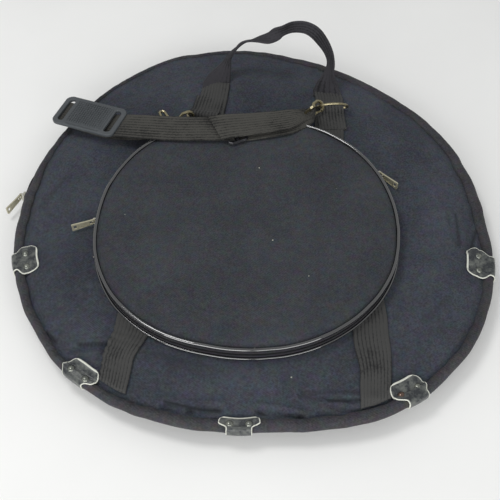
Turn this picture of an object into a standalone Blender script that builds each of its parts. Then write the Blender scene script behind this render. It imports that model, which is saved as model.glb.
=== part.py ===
"""Round soft bag for cymbals, lying on its back, as separate pieces.

Metres, +Z up, +Y towards the side with the carrying handle. The origin is the
centre of the face that the bag rests on.
"""
import math

import bmesh
import bpy
from mathutils import Matrix, Vector

# Shared clearances and counts
FIT = 0.0003
OVERRUN = 0.02
MERGE = 0.00001
RIM_STEPS = 96
POCKET_STEPS = 64
SMALL_STEPS = 16
SMOOTH_DEG = 35.0

# Bag shell
BAG_RADIUS = 0.300
BAG_HEIGHT = 0.0312
BINDING_WIDTH = 0.0145
BINDING_DEPTH = 0.0085
BINDING_ROUND = 0.003
BACK_THICK = 0.006
BACK_ROUND = 0.0016
PANEL_TOP = 0.033
PANEL_EDGE_TOP = 0.030
PANEL_THICK = 0.0065
PLATEAU_RADIUS = 0.232
GUSSET_INSET = 0.0115
BACK_INSET = 0.0110
GUSSET_THICK = 0.002
FOLD_Y = 0.190

# Main zip
TEETH_HEIGHT = 0.0026
TEETH_OUT = 0.002
MAIN_SLIDER_DEG = 178.0

# Rim guards
GUARD_COUNT = 5
GUARD_CENTRE_DEG = -87.5
GUARD_PITCH_DEG = 36.2
GUARD_WIDTH = 0.0455
GUARD_REACH = 0.0205
GUARD_THICK = 0.0016
GUARD_FOOT_Z = 0.010
GUARD_OUTLINE_SHARES = (
    (1.0, 0.0), (0.985, 0.32), (0.93, 0.62), (0.84, 0.86), (0.72, 0.99),
    (0.60, 1.0), (0.48, 0.90), (0.38, 0.74), (0.28, 0.64), (0.15, 0.605),
    (0.0, 0.604))
RIVET_SPACING = 0.022
RIVET_INSET = 0.0095
RIVET_RADIUS = 0.004
RIVET_HEIGHT = 0.002

# Webbing bands over the front
WEBBING_WIDTH = 0.038
WEBBING_THICK = 0.0016
HARNESS_OFFSET = 0.012
BAND_LOW_Y = -0.231
BAND_LOW_SPREAD = 0.1385
BAND_HIGH_Y = 0.220
BAND_HIGH_SPREAD = 0.077
BAND_END_Y = 0.2145

# Carrying handle
HANDLE_AXIS_Y = 0.221
HANDLE_AXIS_Z = 0.0385
HANDLE_LEFT_X = -0.0635
HANDLE_SPAN = 0.1500
HANDLE_RISE = 0.0890
HANDLE_LEAN_DEG = 20.0
HANDLE_WIDTH = 0.019
HANDLE_THICK = 0.0040
HANDLE_PATH_SHARES = (
    (0.050, 0.12), (0.105, 0.245), (0.155, 0.41), (0.20, 0.57),
    (0.26, 0.655), (0.38, 0.72), (0.49, 0.80), (0.60, 0.90), (0.69, 0.965),
    (0.78, 1.0), (0.86, 0.965), (0.94, 0.84), (1.00, 0.67), (1.035, 0.44),
    (1.035, 0.20))

# Front pocket
POCKET_RADIUS = 0.180
POCKET_CENTRE_Y = -0.042
POCKET_WALL = 0.0025
POCKET_WALL_TOP = 0.050
POCKET_ZIP_Z = 0.0427
POCKET_FOLD_Y = 0.053
POCKET_EDGE_TOP = 0.054
POCKET_CROWN = 0.0565
TOP_PIPING_RADIUS = 0.002
BASE_PIPING_RADIUS = 0.0015
POCKET_LEFT_SLIDER_DEG = 180.7
POCKET_RIGHT_SLIDER_DEG = 32.1

# Zip sliders and pulls
SLIDER_LENGTH = 0.011
SLIDER_WIDTH = 0.0078
SLIDER_THICK = 0.0026
ARCH_LENGTH = 0.0092
ARCH_HEIGHT = 0.0058
ARCH_BAR = 0.0014
PULL_LENGTH = 0.0285
PULL_TIP_WIDTH = 0.011
PULL_NECK_WIDTH = 0.0082
PULL_THICK = 0.0018
PULL_EYE_LENGTH = 0.0066
PULL_EYE_WIDTH = 0.0048
PULL_BAR = 0.0016
PULL_HOLE_LENGTH = 0.0036
PULL_HOLE_WIDTH = 0.0062
PULL_HOLE_INSET = 0.0022
PULL_RAIL = 0.0014
PULL_RECESS = 0.0004
MAIN_PULL_DEG = 22.0
LEFT_PULL_DEG = 65.0
RIGHT_PULL_DEG = 16.0

# Rings, tabs and snap hooks
RING_WIDTH = 0.042
RING_HEIGHT = 0.0205
RING_CORNER = 0.0035
RING_WIRE = 0.0018
RING_BAR_Z = 0.040
RIGHT_RING_Y = 0.174
LEFT_RING_Y = 0.147
RIGHT_RING_TILT_DEG = 60.0
LEFT_RING_TILT_DEG = 24.0
TAB_LENGTH = 0.0385
TAB_BASE_Z = 0.0361
TAB_LAYER = 0.0021
HOOK_CORNER_DEG = 150.0
HOOK_WIRE = 0.0022
HOOK_BOW = 0.0069
HOOK_NECK = 0.0130
BARREL_RADIUS = 0.0040
BARREL_LENGTH = 0.0080
SWIVEL_PIN = 0.0016
SWIVEL_COLLAR = 0.0034
EYE_REACH = 0.0085
EYE_WIRE = 0.0019
GATE_WIRE = 0.0013
GATE_HINGE = HOOK_NECK - GATE_WIRE * 1.3 - FIT

# Shoulder strap, pad and tri-glide
RIGHT_STRAP_PULL = Vector((0.55, 0.79, -0.28))
LEFT_STRAP_PULL = Vector((0.95, 0.30, 0.0))
RIGHT_EYE_LEAN = Vector((0.15, -0.50, 0.85))
LEFT_EYE_LEAN = Vector((-0.30, 0.95, 0.0))
GLIDE_X = -0.033
GLIDE_Y = 0.104
GLIDE_Z = 0.0604
GLIDE_LENGTH = 0.047
GLIDE_WIDTH = 0.024
GLIDE_WIRE = 0.0019
GLIDE_TURN_DEG = -62.0
PAD_X = -0.2235
PAD_Y = 0.1240
PAD_Z = 0.0515
PAD_LENGTH = 0.094
PAD_WIDTH = 0.052
PAD_THICK = 0.0045
PAD_TURN_DEG = 162.5
PAD_TILT_DEG = 2.8
PAD_SLOT_LENGTH = 0.040
PAD_SLOT_WIDTH = 0.0075
PAD_SLOT_INSET = 0.0130
PAD_OUTLINE_STEPS = 36
PAD_SIDE_SHARE = 0.45
PAD_END_SHARE = 0.60
PAD_RIB_COUNT = 7
PAD_RIB_HEIGHT = 0.0014
PAD_RIB_WIDTH = 0.0032

FABRIC = ((0.045, 0.048, 0.055), 0.85, 0.0)
WEBBING = ((0.042, 0.041, 0.036), 0.80, 0.0)
PIPING = ((0.012, 0.012, 0.013), 0.25, 0.0)
LEATHER = ((0.010, 0.010, 0.011), 0.30, 0.0)
NICKEL = ((0.62, 0.60, 0.55), 0.30, 1.0)
TEETH = ((0.020, 0.020, 0.022), 0.45, 0.0)
RUBBER = ((0.060, 0.062, 0.068), 0.70, 0.0)


def clear_scene():
    """Remove what a new file holds."""
    for obj in list(bpy.data.objects):
        bpy.data.objects.remove(obj, do_unlink=True)


def new_collection(name):
    """Return a collection of the scene."""
    collection = bpy.data.collections.new(name)
    bpy.context.scene.collection.children.link(collection)
    return collection


def make_material(name, look):
    """Return a Principled material with a colour, a roughness and a metallic value."""
    colour, roughness, metallic = look
    material = bpy.data.materials.new(name)
    material.use_nodes = True
    shader = material.node_tree.nodes["Principled BSDF"]
    shader.inputs["Base Color"].default_value = (*colour, 1.0)
    shader.inputs["Roughness"].default_value = roughness
    shader.inputs["Metallic"].default_value = metallic
    return material


clear_scene()
PARTS = new_collection("cymbal_bag")
CUTTERS = new_collection("cutters")


def keep(obj, look):
    """Put a finished piece among the parts, with a material of its own."""
    for collection in list(obj.users_collection):
        collection.objects.unlink(obj)
    PARTS.objects.link(obj)
    obj.data.materials.clear()
    obj.data.materials.append(make_material(obj.name + "_look", look))
    return obj


def as_cutter(obj):
    """Put a helper solid among the cutters, out of the build."""
    for collection in list(obj.users_collection):
        collection.objects.unlink(obj)
    CUTTERS.objects.link(obj)
    obj.hide_render = True
    obj.display_type = "WIRE"
    return obj


def link_mesh(name, mesh):
    """Return a new object for a mesh."""
    obj = bpy.data.objects.new(name, mesh)
    bpy.context.scene.collection.objects.link(obj)
    return obj


def from_bmesh(name, bm):
    """Return a new object that takes a bmesh's shape."""
    mesh = bpy.data.meshes.new(name)
    bm.to_mesh(mesh)
    bm.free()
    return link_mesh(name, mesh)


def settle(obj):
    """Turn an object with its modifiers, or a curve, into a plain welded mesh."""
    bpy.context.view_layer.update()
    depsgraph = bpy.context.evaluated_depsgraph_get()
    mesh = bpy.data.meshes.new_from_object(obj.evaluated_get(depsgraph))
    bm = bmesh.new()
    bm.from_mesh(mesh)
    bmesh.ops.remove_doubles(bm, verts=bm.verts, dist=MERGE)
    bm.to_mesh(mesh)
    bm.free()
    name = obj.name
    place = obj.matrix_world.copy()
    bpy.data.objects.remove(obj, do_unlink=True)
    done = link_mesh(name, mesh)
    done.matrix_world = place
    return done


def soften(obj):
    """Shade a piece smooth with its sharp edges kept."""
    obj.data.shade_smooth()
    obj.data.set_sharp_from_angle(angle=math.radians(SMOOTH_DEG))
    return obj


def box(name, size, centre, turn=None):
    """Return a box of a size about a centre, turned by a matrix."""
    bm = bmesh.new()
    bmesh.ops.create_cube(bm, size=1.0)
    bmesh.ops.scale(bm, verts=bm.verts, vec=size)
    obj = from_bmesh(name, bm)
    place = Matrix.Translation(centre)
    obj.matrix_world = place if turn is None else place @ turn
    return obj


def slab(name, low, high):
    """Return a box between two corners."""
    low = Vector(low)
    high = Vector(high)
    return box(name, high - low, (low + high) / 2)


def cylinder(name, radius, length, place, top_radius=None, steps=SMALL_STEPS):
    """Return a cylinder along the local Z of a placing matrix, about its origin."""
    bm = bmesh.new()
    bmesh.ops.create_cone(bm, cap_ends=True, segments=steps, radius1=radius,
                          radius2=radius if top_radius is None else top_radius, depth=length)
    obj = from_bmesh(name, bm)
    obj.matrix_world = place
    return obj


def turned(name, profile, centre, steps, closed):
    """Return the solid that a profile sweeps about a vertical axis.

    The profile's points are (radius, height) and run down its outer side.
    """
    bm = bmesh.new()
    verts = [bm.verts.new((radius, 0, height)) for radius, height in profile]
    for first, second in zip(verts, verts[1:]):
        bm.edges.new((first, second))
    if closed:
        bm.edges.new((verts[-1], verts[0]))
    obj = from_bmesh(name, bm)
    obj.location = (centre[0], centre[1], 0)
    screw = obj.modifiers.new("Turn", "SCREW")
    screw.steps = steps
    screw.render_steps = steps
    screw.use_merge_vertices = True
    screw.merge_threshold = MERGE
    return settle(obj)


def cut(obj, cutter, operation="DIFFERENCE"):
    """Cut, join or clip a piece with a helper solid."""
    as_cutter(cutter)
    boolean = obj.modifiers.new(operation.title(), "BOOLEAN")
    boolean.operation = operation
    boolean.object = cutter
    return obj


def joined(obj, *others):
    """Return one solid made of touching solids."""
    for other in others:
        cut(obj, other, "UNION")
    done = settle(obj)
    for other in others:
        bpy.data.objects.remove(other, do_unlink=True)
    return done


def clipped(obj, low, high):
    """Return what a box keeps of a solid."""
    cutter = slab("clip", low, high)
    cut(obj, cutter, "INTERSECT")
    done = settle(obj)
    bpy.data.objects.remove(cutter, do_unlink=True)
    return done


def wire(name, points, radius, closed=False, place=None):
    """Return a round wire through points."""
    curve = bpy.data.curves.new(name, "CURVE")
    curve.dimensions = "3D"
    curve.bevel_depth = radius
    curve.bevel_resolution = 2
    curve.use_fill_caps = not closed
    spline = curve.splines.new("POLY")
    spline.points.add(len(points) - 1)
    for point, co in zip(spline.points, points):
        point.co = (*co, 1.0)
    spline.use_cyclic_u = closed
    obj = link_mesh(name, curve)
    if place is not None:
        obj.matrix_world = place
    return settle(obj)


def plate(name, outlines, thickness, place):
    """Return a flat plate from an outline and its holes, in the local XY plane."""
    curve = bpy.data.curves.new(name, "CURVE")
    curve.dimensions = "2D"
    curve.fill_mode = "BOTH"
    curve.extrude = thickness / 2
    for outline in outlines:
        spline = curve.splines.new("POLY")
        spline.points.add(len(outline) - 1)
        for point, co in zip(spline.points, outline):
            point.co = (co[0], co[1], 0, 1.0)
        spline.use_cyclic_u = True
    obj = link_mesh(name, curve)
    obj.matrix_world = place
    return settle(obj)


def strap(name, points, width, thickness):
    """Return flat webbing along points, its width level."""
    curve = bpy.data.curves.new(name, "CURVE")
    curve.dimensions = "3D"
    curve.twist_mode = "Z_UP"
    curve.bevel_depth = thickness / 2
    curve.bevel_resolution = 0
    curve.extrude = (width - thickness) / 2
    curve.use_fill_caps = True
    spline = curve.splines.new("POLY")
    spline.points.add(len(points) - 1)
    for index, point in enumerate(spline.points):
        point.co = (*points[index], 1.0)
        point.tilt = math.radians(90.0)
    return settle(link_mesh(name, curve))


def level_across(points, index):
    """Return the level direction across a route at one of its points."""
    ahead = Vector(points[min(index + 1, len(points) - 1)])
    behind = Vector(points[max(index - 1, 0)])
    return Vector((0, 0, 1)).cross(ahead - behind).normalized()


def strip(name, points, width, thickness, bar, shares):
    """Return webbing along points that twists from level to a bar at its first point."""
    count = len(points) - 1
    bm = bmesh.new()
    bmesh.ops.create_grid(bm, x_segments=count, y_segments=2, size=1.0)
    if bar.dot(level_across(points, 0)) < 0:
        bar = -bar
    for vert in bm.verts:
        index = round((vert.co.x + 1) / 2 * count)
        share = shares[index] if index < len(shares) else 0.0
        across = level_across(points, index).lerp(bar, share).normalized()
        vert.co = Vector(points[index]) + across * (width / 2 * vert.co.y)
    obj = from_bmesh(name, bm)
    solid = obj.modifiers.new("Thickness", "SOLIDIFY")
    solid.thickness = thickness
    solid.offset = 0.0
    return settle(obj)


def folded(name, points, width, thickness, place):
    """Return webbing bent in the local XY plane, its width along the local Z."""
    curve = bpy.data.curves.new(name, "CURVE")
    curve.dimensions = "3D"
    curve.twist_mode = "Z_UP"
    curve.bevel_depth = thickness / 2
    curve.bevel_resolution = 0
    curve.extrude = (width - thickness) / 2
    curve.use_fill_caps = True
    spline = curve.splines.new("POLY")
    spline.points.add(len(points) - 1)
    for point, co in zip(spline.points, points):
        point.co = (co[0], co[1], 0, 1.0)
    obj = link_mesh(name, curve)
    obj.matrix_world = place
    return settle(obj)


def frame_at(origin, x_axis, y_axis):
    """Return a placing matrix with two given axes, the second squared to the first."""
    x_axis = Vector(x_axis).normalized()
    z_axis = x_axis.cross(Vector(y_axis)).normalized()
    y_axis = z_axis.cross(x_axis)
    matrix = Matrix((x_axis, y_axis, z_axis)).transposed().to_4x4()
    return Matrix.Translation(origin) @ matrix


def polar(radius, degrees, height, centre_y=0.0):
    """Return a point at a radius and an azimuth."""
    angle = math.radians(degrees)
    return Vector((radius * math.cos(angle), centre_y + radius * math.sin(angle), height))


def on_axis(name, place, *pieces):
    """Parent pieces to an empty that stands on their joint's axis."""
    empty = bpy.data.objects.new(name, None)
    PARTS.objects.link(empty)
    empty.matrix_world = Matrix.Translation(place)
    bpy.context.view_layer.update()
    for piece in pieces:
        piece.parent = empty
        piece.matrix_parent_inverse = empty.matrix_world.inverted()
    return empty


# The heights and radii that pieces share
PANEL_RADIUS = BAG_RADIUS - BINDING_WIDTH - FIT
BINDING_INNER = BAG_RADIUS - BINDING_WIDTH
BACK_RADIUS = BAG_RADIUS - BACK_INSET
BACK_PANEL_RADIUS = BACK_RADIUS - BINDING_WIDTH - FIT
PANEL_UNDERSIDE = PANEL_EDGE_TOP - PANEL_THICK
FRONT_BINDING_Z = BAG_HEIGHT - BINDING_DEPTH
SIDE_OUTER = BAG_RADIUS - GUSSET_INSET
SIDE_INNER = SIDE_OUTER - GUSSET_THICK
SIDE_LOW = BINDING_DEPTH + FIT
SIDE_HIGH = FRONT_BINDING_Z - FIT
SIDE_MIDDLE = (SIDE_LOW + SIDE_HIGH) / 2
BAND_TOP = PANEL_TOP + FIT + WEBBING_THICK
HINGE_Z = BAND_TOP + FIT


def ring_section(inner, outer, low, high, rounding):
    """Return a ring's cross-section with a rounded top outer edge."""
    points = [(inner, high - rounding / 2), (inner + rounding, high), (outer - rounding, high)]
    points += [(outer - rounding / 3, high - rounding / 3), (outer, high - rounding)]
    points += [(outer, low), (inner, low)]
    return points


def back_panel():
    """The padded back, flat on the floor."""
    edge = BACK_PANEL_RADIUS
    profile = [(0, BACK_THICK), (edge - BACK_ROUND, BACK_THICK)]
    profile += [(edge, BACK_THICK - BACK_ROUND), (edge, 0), (0, 0)]
    return keep(turned("back_panel", profile, (0, 0), RIM_STEPS, False), FABRIC)


def back_binding():
    """The strip that binds the back panel to the side."""
    section = ring_section(BACK_RADIUS - BINDING_WIDTH, BACK_RADIUS, 0, BINDING_DEPTH,
                           BINDING_ROUND)
    return keep(turned("back_binding", section, (0, 0), RIM_STEPS, True), WEBBING)


def lower_gusset():
    """The plain side band round the lower half."""
    section = [(SIDE_INNER, SIDE_HIGH), (SIDE_OUTER, SIDE_HIGH)]
    section += [(SIDE_OUTER, SIDE_LOW), (SIDE_INNER, SIDE_LOW)]
    ring = turned("lower_gusset", section, (0, 0), RIM_STEPS, True)
    reach = BAG_RADIUS + OVERRUN
    return keep(clipped(ring, (-reach, -reach, 0), (reach, -FIT, BAG_HEIGHT)), FABRIC)


def tape_section(outward):
    """Return the section of one zip tape: teeth towards the middle of the side."""
    edge = SIDE_OUTER + TEETH_OUT
    if outward > 0:
        low = SIDE_MIDDLE + FIT / 2
        points = [(SIDE_INNER, SIDE_HIGH), (SIDE_OUTER, SIDE_HIGH)]
        points += [(SIDE_OUTER, low + TEETH_HEIGHT), (edge, low + TEETH_HEIGHT * 2 / 3)]
        points += [(edge, low + TEETH_HEIGHT / 3), (SIDE_OUTER, low), (SIDE_INNER, low)]
        return points
    high = SIDE_MIDDLE - FIT / 2
    points = [(SIDE_INNER, high), (SIDE_OUTER, high), (edge, high - TEETH_HEIGHT / 3)]
    points += [(edge, high - TEETH_HEIGHT * 2 / 3), (SIDE_OUTER, high - TEETH_HEIGHT)]
    points += [(SIDE_OUTER, SIDE_LOW), (SIDE_INNER, SIDE_LOW)]
    return points


def zip_tapes():
    """The main zip's two rows: one on the back, one in three lengths on the front."""
    reach = BAG_RADIUS + OVERRUN
    lower = turned("main_zip_lower_tape", tape_section(-1), (0, 0), RIM_STEPS, True)
    lower = keep(clipped(lower, (-reach, FIT, 0), (reach, reach, BAG_HEIGHT)), TEETH)
    spans = {
        "main_zip_left_tape": ((-reach, FIT, 0), (0, FOLD_Y - FIT / 2, BAG_HEIGHT)),
        "main_zip_right_tape": ((0, FIT, 0), (reach, FOLD_Y - FIT / 2, BAG_HEIGHT)),
        "main_zip_flap_tape": ((-reach, FOLD_Y + FIT / 2, 0), (reach, reach, BAG_HEIGHT)),
    }
    tapes = {"main_zip_lower_tape": lower}
    for name, (low, high) in spans.items():
        ring = turned(name, tape_section(1), (0, 0), RIM_STEPS, True)
        tapes[name] = keep(clipped(ring, low, high), TEETH)
    return tapes


def panel_height(radius):
    """Return the height of the front panel's face at a distance from the centre."""
    share = (radius - PLATEAU_RADIUS) / (PANEL_RADIUS - PLATEAU_RADIUS)
    share = max(0.0, min(1.0, share))
    return PANEL_TOP + (PANEL_EDGE_TOP - PANEL_TOP) * share


def front_cover(name, low_y, high_y):
    """One part of the padded front panel."""
    profile = [(0, PANEL_TOP), (PLATEAU_RADIUS, PANEL_TOP), (PANEL_RADIUS, PANEL_EDGE_TOP)]
    profile += [(PANEL_RADIUS, PANEL_UNDERSIDE), (0, PANEL_UNDERSIDE)]
    disc = turned(name, profile, (0, 0), RIM_STEPS, False)
    reach = BAG_RADIUS + OVERRUN
    return keep(clipped(disc, (-reach, low_y, 0), (reach, high_y, PANEL_TOP + OVERRUN)), FABRIC)


def front_binding(name, low_y, high_y):
    """One length of the strip that binds the front panel's rim."""
    section = ring_section(BINDING_INNER, BAG_RADIUS, FRONT_BINDING_Z, BAG_HEIGHT, BINDING_ROUND)
    ring = turned(name, section, (0, 0), RIM_STEPS, True)
    reach = BAG_RADIUS + OVERRUN
    return keep(clipped(ring, (-reach, low_y, 0), (reach, high_y, BAG_HEIGHT + OVERRUN)), WEBBING)


def guard(index):
    """A leather patch over the rim, with its two rivets."""
    azimuth = GUARD_CENTRE_DEG + (index - GUARD_COUNT // 2) * GUARD_PITCH_DEG
    outward = polar(1.0, azimuth, 0)
    place = frame_at(outward * BAG_RADIUS, -outward, (-outward.y, outward.x, 0))
    half = GUARD_WIDTH / 2
    side = [(GUARD_REACH * along, half * across) for along, across in GUARD_OUTLINE_SHARES]
    outer = -(GUARD_THICK + FIT * 2)
    side.append((outer, side[-1][1]))
    outline = [(x, y) for x, y in side] + [(x, -y) for x, y in reversed(side) if y > 0]
    top = BAG_HEIGHT + FIT + GUARD_THICK / 2
    name = "rim_guard_%d" % (index + 1)
    lobe = plate(name, [outline], GUARD_THICK, Matrix.Translation((0, 0, top)) @ place)
    height = BAG_HEIGHT + FIT + GUARD_THICK - GUARD_FOOT_Z
    stand = outward * (BAG_RADIUS + FIT * 2 + GUARD_THICK / 2)
    upright = Matrix.Translation(stand + Vector((0, 0, GUARD_FOOT_Z + height / 2)))
    turn = Matrix.Rotation(math.radians(azimuth), 4, "Z")
    skirt = box("skirt", (GUARD_THICK, side[-1][1] * 2, height), (0, 0, 0))
    skirt.matrix_world = upright @ turn
    lobe = keep(joined(lobe, skirt), LEATHER)
    rivets = []
    for side_sign, label in ((-1, "a"), (1, "b")):
        across = Vector((-outward.y, outward.x, 0)) * (side_sign * RIVET_SPACING / 2)
        spot = outward * (BAG_RADIUS - RIVET_INSET) + across
        base = BAG_HEIGHT + FIT * 2 + GUARD_THICK
        profile = [(0, base + RIVET_HEIGHT), (RIVET_RADIUS / 2, base + RIVET_HEIGHT * 0.86)]
        profile += [(RIVET_RADIUS * 0.85, base + RIVET_HEIGHT / 2), (RIVET_RADIUS, base + FIT)]
        profile += [(RIVET_RADIUS, base), (0, base)]
        rivet = turned("rivet_%d%s" % (index + 1, label), profile, spot, SMALL_STEPS, False)
        rivets.append(keep(soften(rivet), NICKEL))
    return lobe, rivets


def band_centre(side, y):
    """Return the middle of a band at a height of the bag: side is -1 left, 1 right."""
    share = (y - BAND_LOW_Y) / (BAND_HIGH_Y - BAND_LOW_Y)
    spread = BAND_LOW_SPREAD + (BAND_HIGH_SPREAD - BAND_LOW_SPREAD) * share
    return Vector((HARNESS_OFFSET + side * spread, y, 0))


def band_direction(side):
    """Return the unit direction of a band towards the handle."""
    run = band_centre(side, BAND_HIGH_Y) - band_centre(side, BAND_LOW_Y)
    return run.normalized()


def band_at_radius(side, radius):
    """Return the lower place where a band's middle line is at a radius."""
    start = band_centre(side, 0)
    direction = band_direction(side)
    along = start.dot(direction)
    across = start.length_squared - along * along
    return start - direction * (along + math.sqrt(radius * radius - across))


def lower_band(side, name):
    """The length of a band below the fold, under the pocket down to the rim."""
    direction = band_direction(side)
    end = FOLD_Y - FIT / 2 - WEBBING_WIDTH * abs(direction.x) / 2
    half = WEBBING_WIDTH / 2
    spots = [band_at_radius(side, PANEL_RADIUS + half), band_at_radius(side, PLATEAU_RADIUS + half)]
    spots += [band_centre(side, 0), band_centre(side, end)]
    points = []
    for spot in spots:
        height = panel_height(spot.length - half)
        points.append((spot.x, spot.y, height + FIT + WEBBING_THICK / 2))
    band = strap(name, points, WEBBING_WIDTH, WEBBING_THICK)
    disc = cylinder("disc", BAG_RADIUS - GUARD_REACH - FIT, BAG_HEIGHT * 4, Matrix.Identity(4),
                    steps=RIM_STEPS)
    cut(band, disc, "INTERSECT")
    done = settle(band)
    bpy.data.objects.remove(disc, do_unlink=True)
    return keep(done, WEBBING)


def upper_band(side, name):
    """The length of a band on the flap, up to the handle."""
    direction = band_direction(side)
    start = FOLD_Y + FIT / 2 + WEBBING_WIDTH * abs(direction.x) / 2
    height = PANEL_TOP + FIT + WEBBING_THICK / 2
    points = []
    for y in (start, BAND_END_Y):
        spot = band_centre(side, y)
        points.append((spot.x, spot.y, height))
    return keep(strap(name, points, WEBBING_WIDTH, WEBBING_THICK), WEBBING)


def carrying_handle():
    """The loop that the two bands run on into, folded lengthwise."""
    lean = math.radians(HANDLE_LEAN_DEG)
    place = frame_at((HANDLE_LEFT_X, HANDLE_AXIS_Y, HANDLE_AXIS_Z), (1, 0, 0),
                     (0, math.sin(lean), math.cos(lean)))
    foot = HANDLE_AXIS_Z - PANEL_TOP - FIT
    points = [(HANDLE_SPAN * x, HANDLE_RISE * y) for x, y in HANDLE_PATH_SHARES]
    points = [(0, foot / 2), (0, foot), *points, (HANDLE_SPAN, foot), (HANDLE_SPAN, foot / 2)]
    handle = folded("carrying_handle", points, HANDLE_WIDTH, HANDLE_THICK, place)
    lying = Matrix.Rotation(math.radians(90.0), 4, "Y")
    feet = []
    for x in (0, HANDLE_SPAN):
        spot = place @ Matrix.Translation((x, 0, 0)) @ lying
        feet.append(cylinder("foot", foot, HANDLE_THICK, spot))
    return keep(joined(handle, *feet), WEBBING)


def notch_for_bands(piece):
    """Cut room for both bands under a piece that stands on the panel."""
    for side in (-1, 1):
        direction = band_direction(side)
        middle = band_centre(side, POCKET_CENTRE_Y)
        turn = Matrix.Rotation(math.atan2(direction.y, direction.x), 4, "Z")
        size = (BAG_RADIUS * 2, WEBBING_WIDTH + FIT * 2, (WEBBING_THICK + FIT * 2) * 2)
        notch = box("notch", size, (middle.x, middle.y, PANEL_TOP), turn)
        cut(piece, notch)
    done = settle(piece)
    for cutter in list(CUTTERS.objects):
        bpy.data.objects.remove(cutter, do_unlink=True)
    return done


POCKET_SPOT = (0.0, POCKET_CENTRE_Y)
POCKET_FOOT_Z = PANEL_TOP + FIT
WALL_OUTER = POCKET_RADIUS
WALL_INNER = POCKET_RADIUS - POCKET_WALL


def pocket_wall():
    """The pocket's side: full height at the top, below the zip elsewhere."""
    bead = WALL_OUTER + TEETH_OUT / 2
    low = POCKET_ZIP_Z - FIT / 2
    section = [(WALL_INNER, POCKET_WALL_TOP), (WALL_OUTER, POCKET_WALL_TOP)]
    section += [(WALL_OUTER, low), (bead, low - TEETH_HEIGHT / 4)]
    section += [(bead, low - TEETH_HEIGHT / 2), (WALL_OUTER, low - TEETH_HEIGHT * 3 / 4)]
    section += [(WALL_OUTER, POCKET_FOOT_Z), (WALL_INNER, POCKET_FOOT_Z)]
    ring = turned("pocket_wall", section, POCKET_SPOT, POCKET_STEPS, True)
    reach = BAG_RADIUS
    cut(ring, slab("opening", (-reach, -reach, low), (reach, POCKET_FOLD_Y + FIT / 2, reach)))
    return keep(notch_for_bands(ring), FABRIC)


def pocket_skirt():
    """The upper part of the pocket's side, which lifts with its front."""
    bead = WALL_OUTER + TEETH_OUT / 2
    high = POCKET_ZIP_Z + FIT / 2
    section = [(WALL_INNER, POCKET_WALL_TOP), (WALL_OUTER, POCKET_WALL_TOP)]
    section += [(WALL_OUTER, high + TEETH_HEIGHT * 3 / 4), (bead, high + TEETH_HEIGHT / 2)]
    section += [(bead, high + TEETH_HEIGHT / 4), (WALL_OUTER, high), (WALL_INNER, high)]
    ring = turned("pocket_skirt", section, POCKET_SPOT, POCKET_STEPS, True)
    reach = BAG_RADIUS
    return keep(clipped(ring, (-reach, -reach, 0), (reach, POCKET_FOLD_Y - FIT / 2, reach)),
                FABRIC)


def pocket_front(name, low_y, high_y):
    """One part of the pocket's domed front."""
    radius = POCKET_RADIUS - TOP_PIPING_RADIUS - FIT
    low = POCKET_WALL_TOP + FIT
    rise = POCKET_CROWN - POCKET_EDGE_TOP
    profile = []
    for share in (0.0, 0.35, 0.60, 0.80, 0.92, 1.0):
        profile.append((radius * share, POCKET_EDGE_TOP + rise * (1 - share ** 3)))
    profile += [(radius, low), (0, low)]
    disc = turned(name, profile, POCKET_SPOT, POCKET_STEPS, False)
    reach = BAG_RADIUS
    return keep(clipped(disc, (-reach, low_y, 0), (reach, high_y, reach)), FABRIC)


def hoop(name, radius, height, tube):
    """Return a full round of piping about the pocket's centre."""
    section = []
    for index in range(8):
        angle = math.tau * index / 8
        section.append((radius + tube * math.sin(angle), height + tube * math.cos(angle)))
    return turned(name, section, POCKET_SPOT, POCKET_STEPS, True)


def top_piping(name, low_y, high_y):
    """One length of the glossy piping round the pocket's front."""
    ring = hoop(name, POCKET_RADIUS, POCKET_WALL_TOP + FIT + TOP_PIPING_RADIUS,
                TOP_PIPING_RADIUS)
    reach = BAG_RADIUS
    return keep(soften(clipped(ring, (-reach, low_y, 0), (reach, high_y, reach))), PIPING)


def base_piping():
    """The piping in the seam between the pocket and the front panel."""
    height = BAND_TOP + FIT * 2 + BASE_PIPING_RADIUS
    ring = hoop("pocket_base_piping", POCKET_RADIUS + FIT + BASE_PIPING_RADIUS, height,
                BASE_PIPING_RADIUS)
    return keep(soften(ring), PIPING)


def rectangle(low_x, high_x, low_y, high_y):
    """Return a rectangle's corners."""
    return [(low_x, low_y), (high_x, low_y), (high_x, high_y), (low_x, high_y)]


def rounded_slot(middle, length, width):
    """Return a slot's outline, long in Y, with round ends."""
    radius = width / 2
    straight = length / 2 - radius
    points = []
    for end in (1, -1):
        for index in range(5):
            angle = math.radians(45.0 * index)
            points.append((middle + end * radius * math.cos(angle),
                           end * (straight + radius * math.sin(angle))))
    return points


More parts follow.
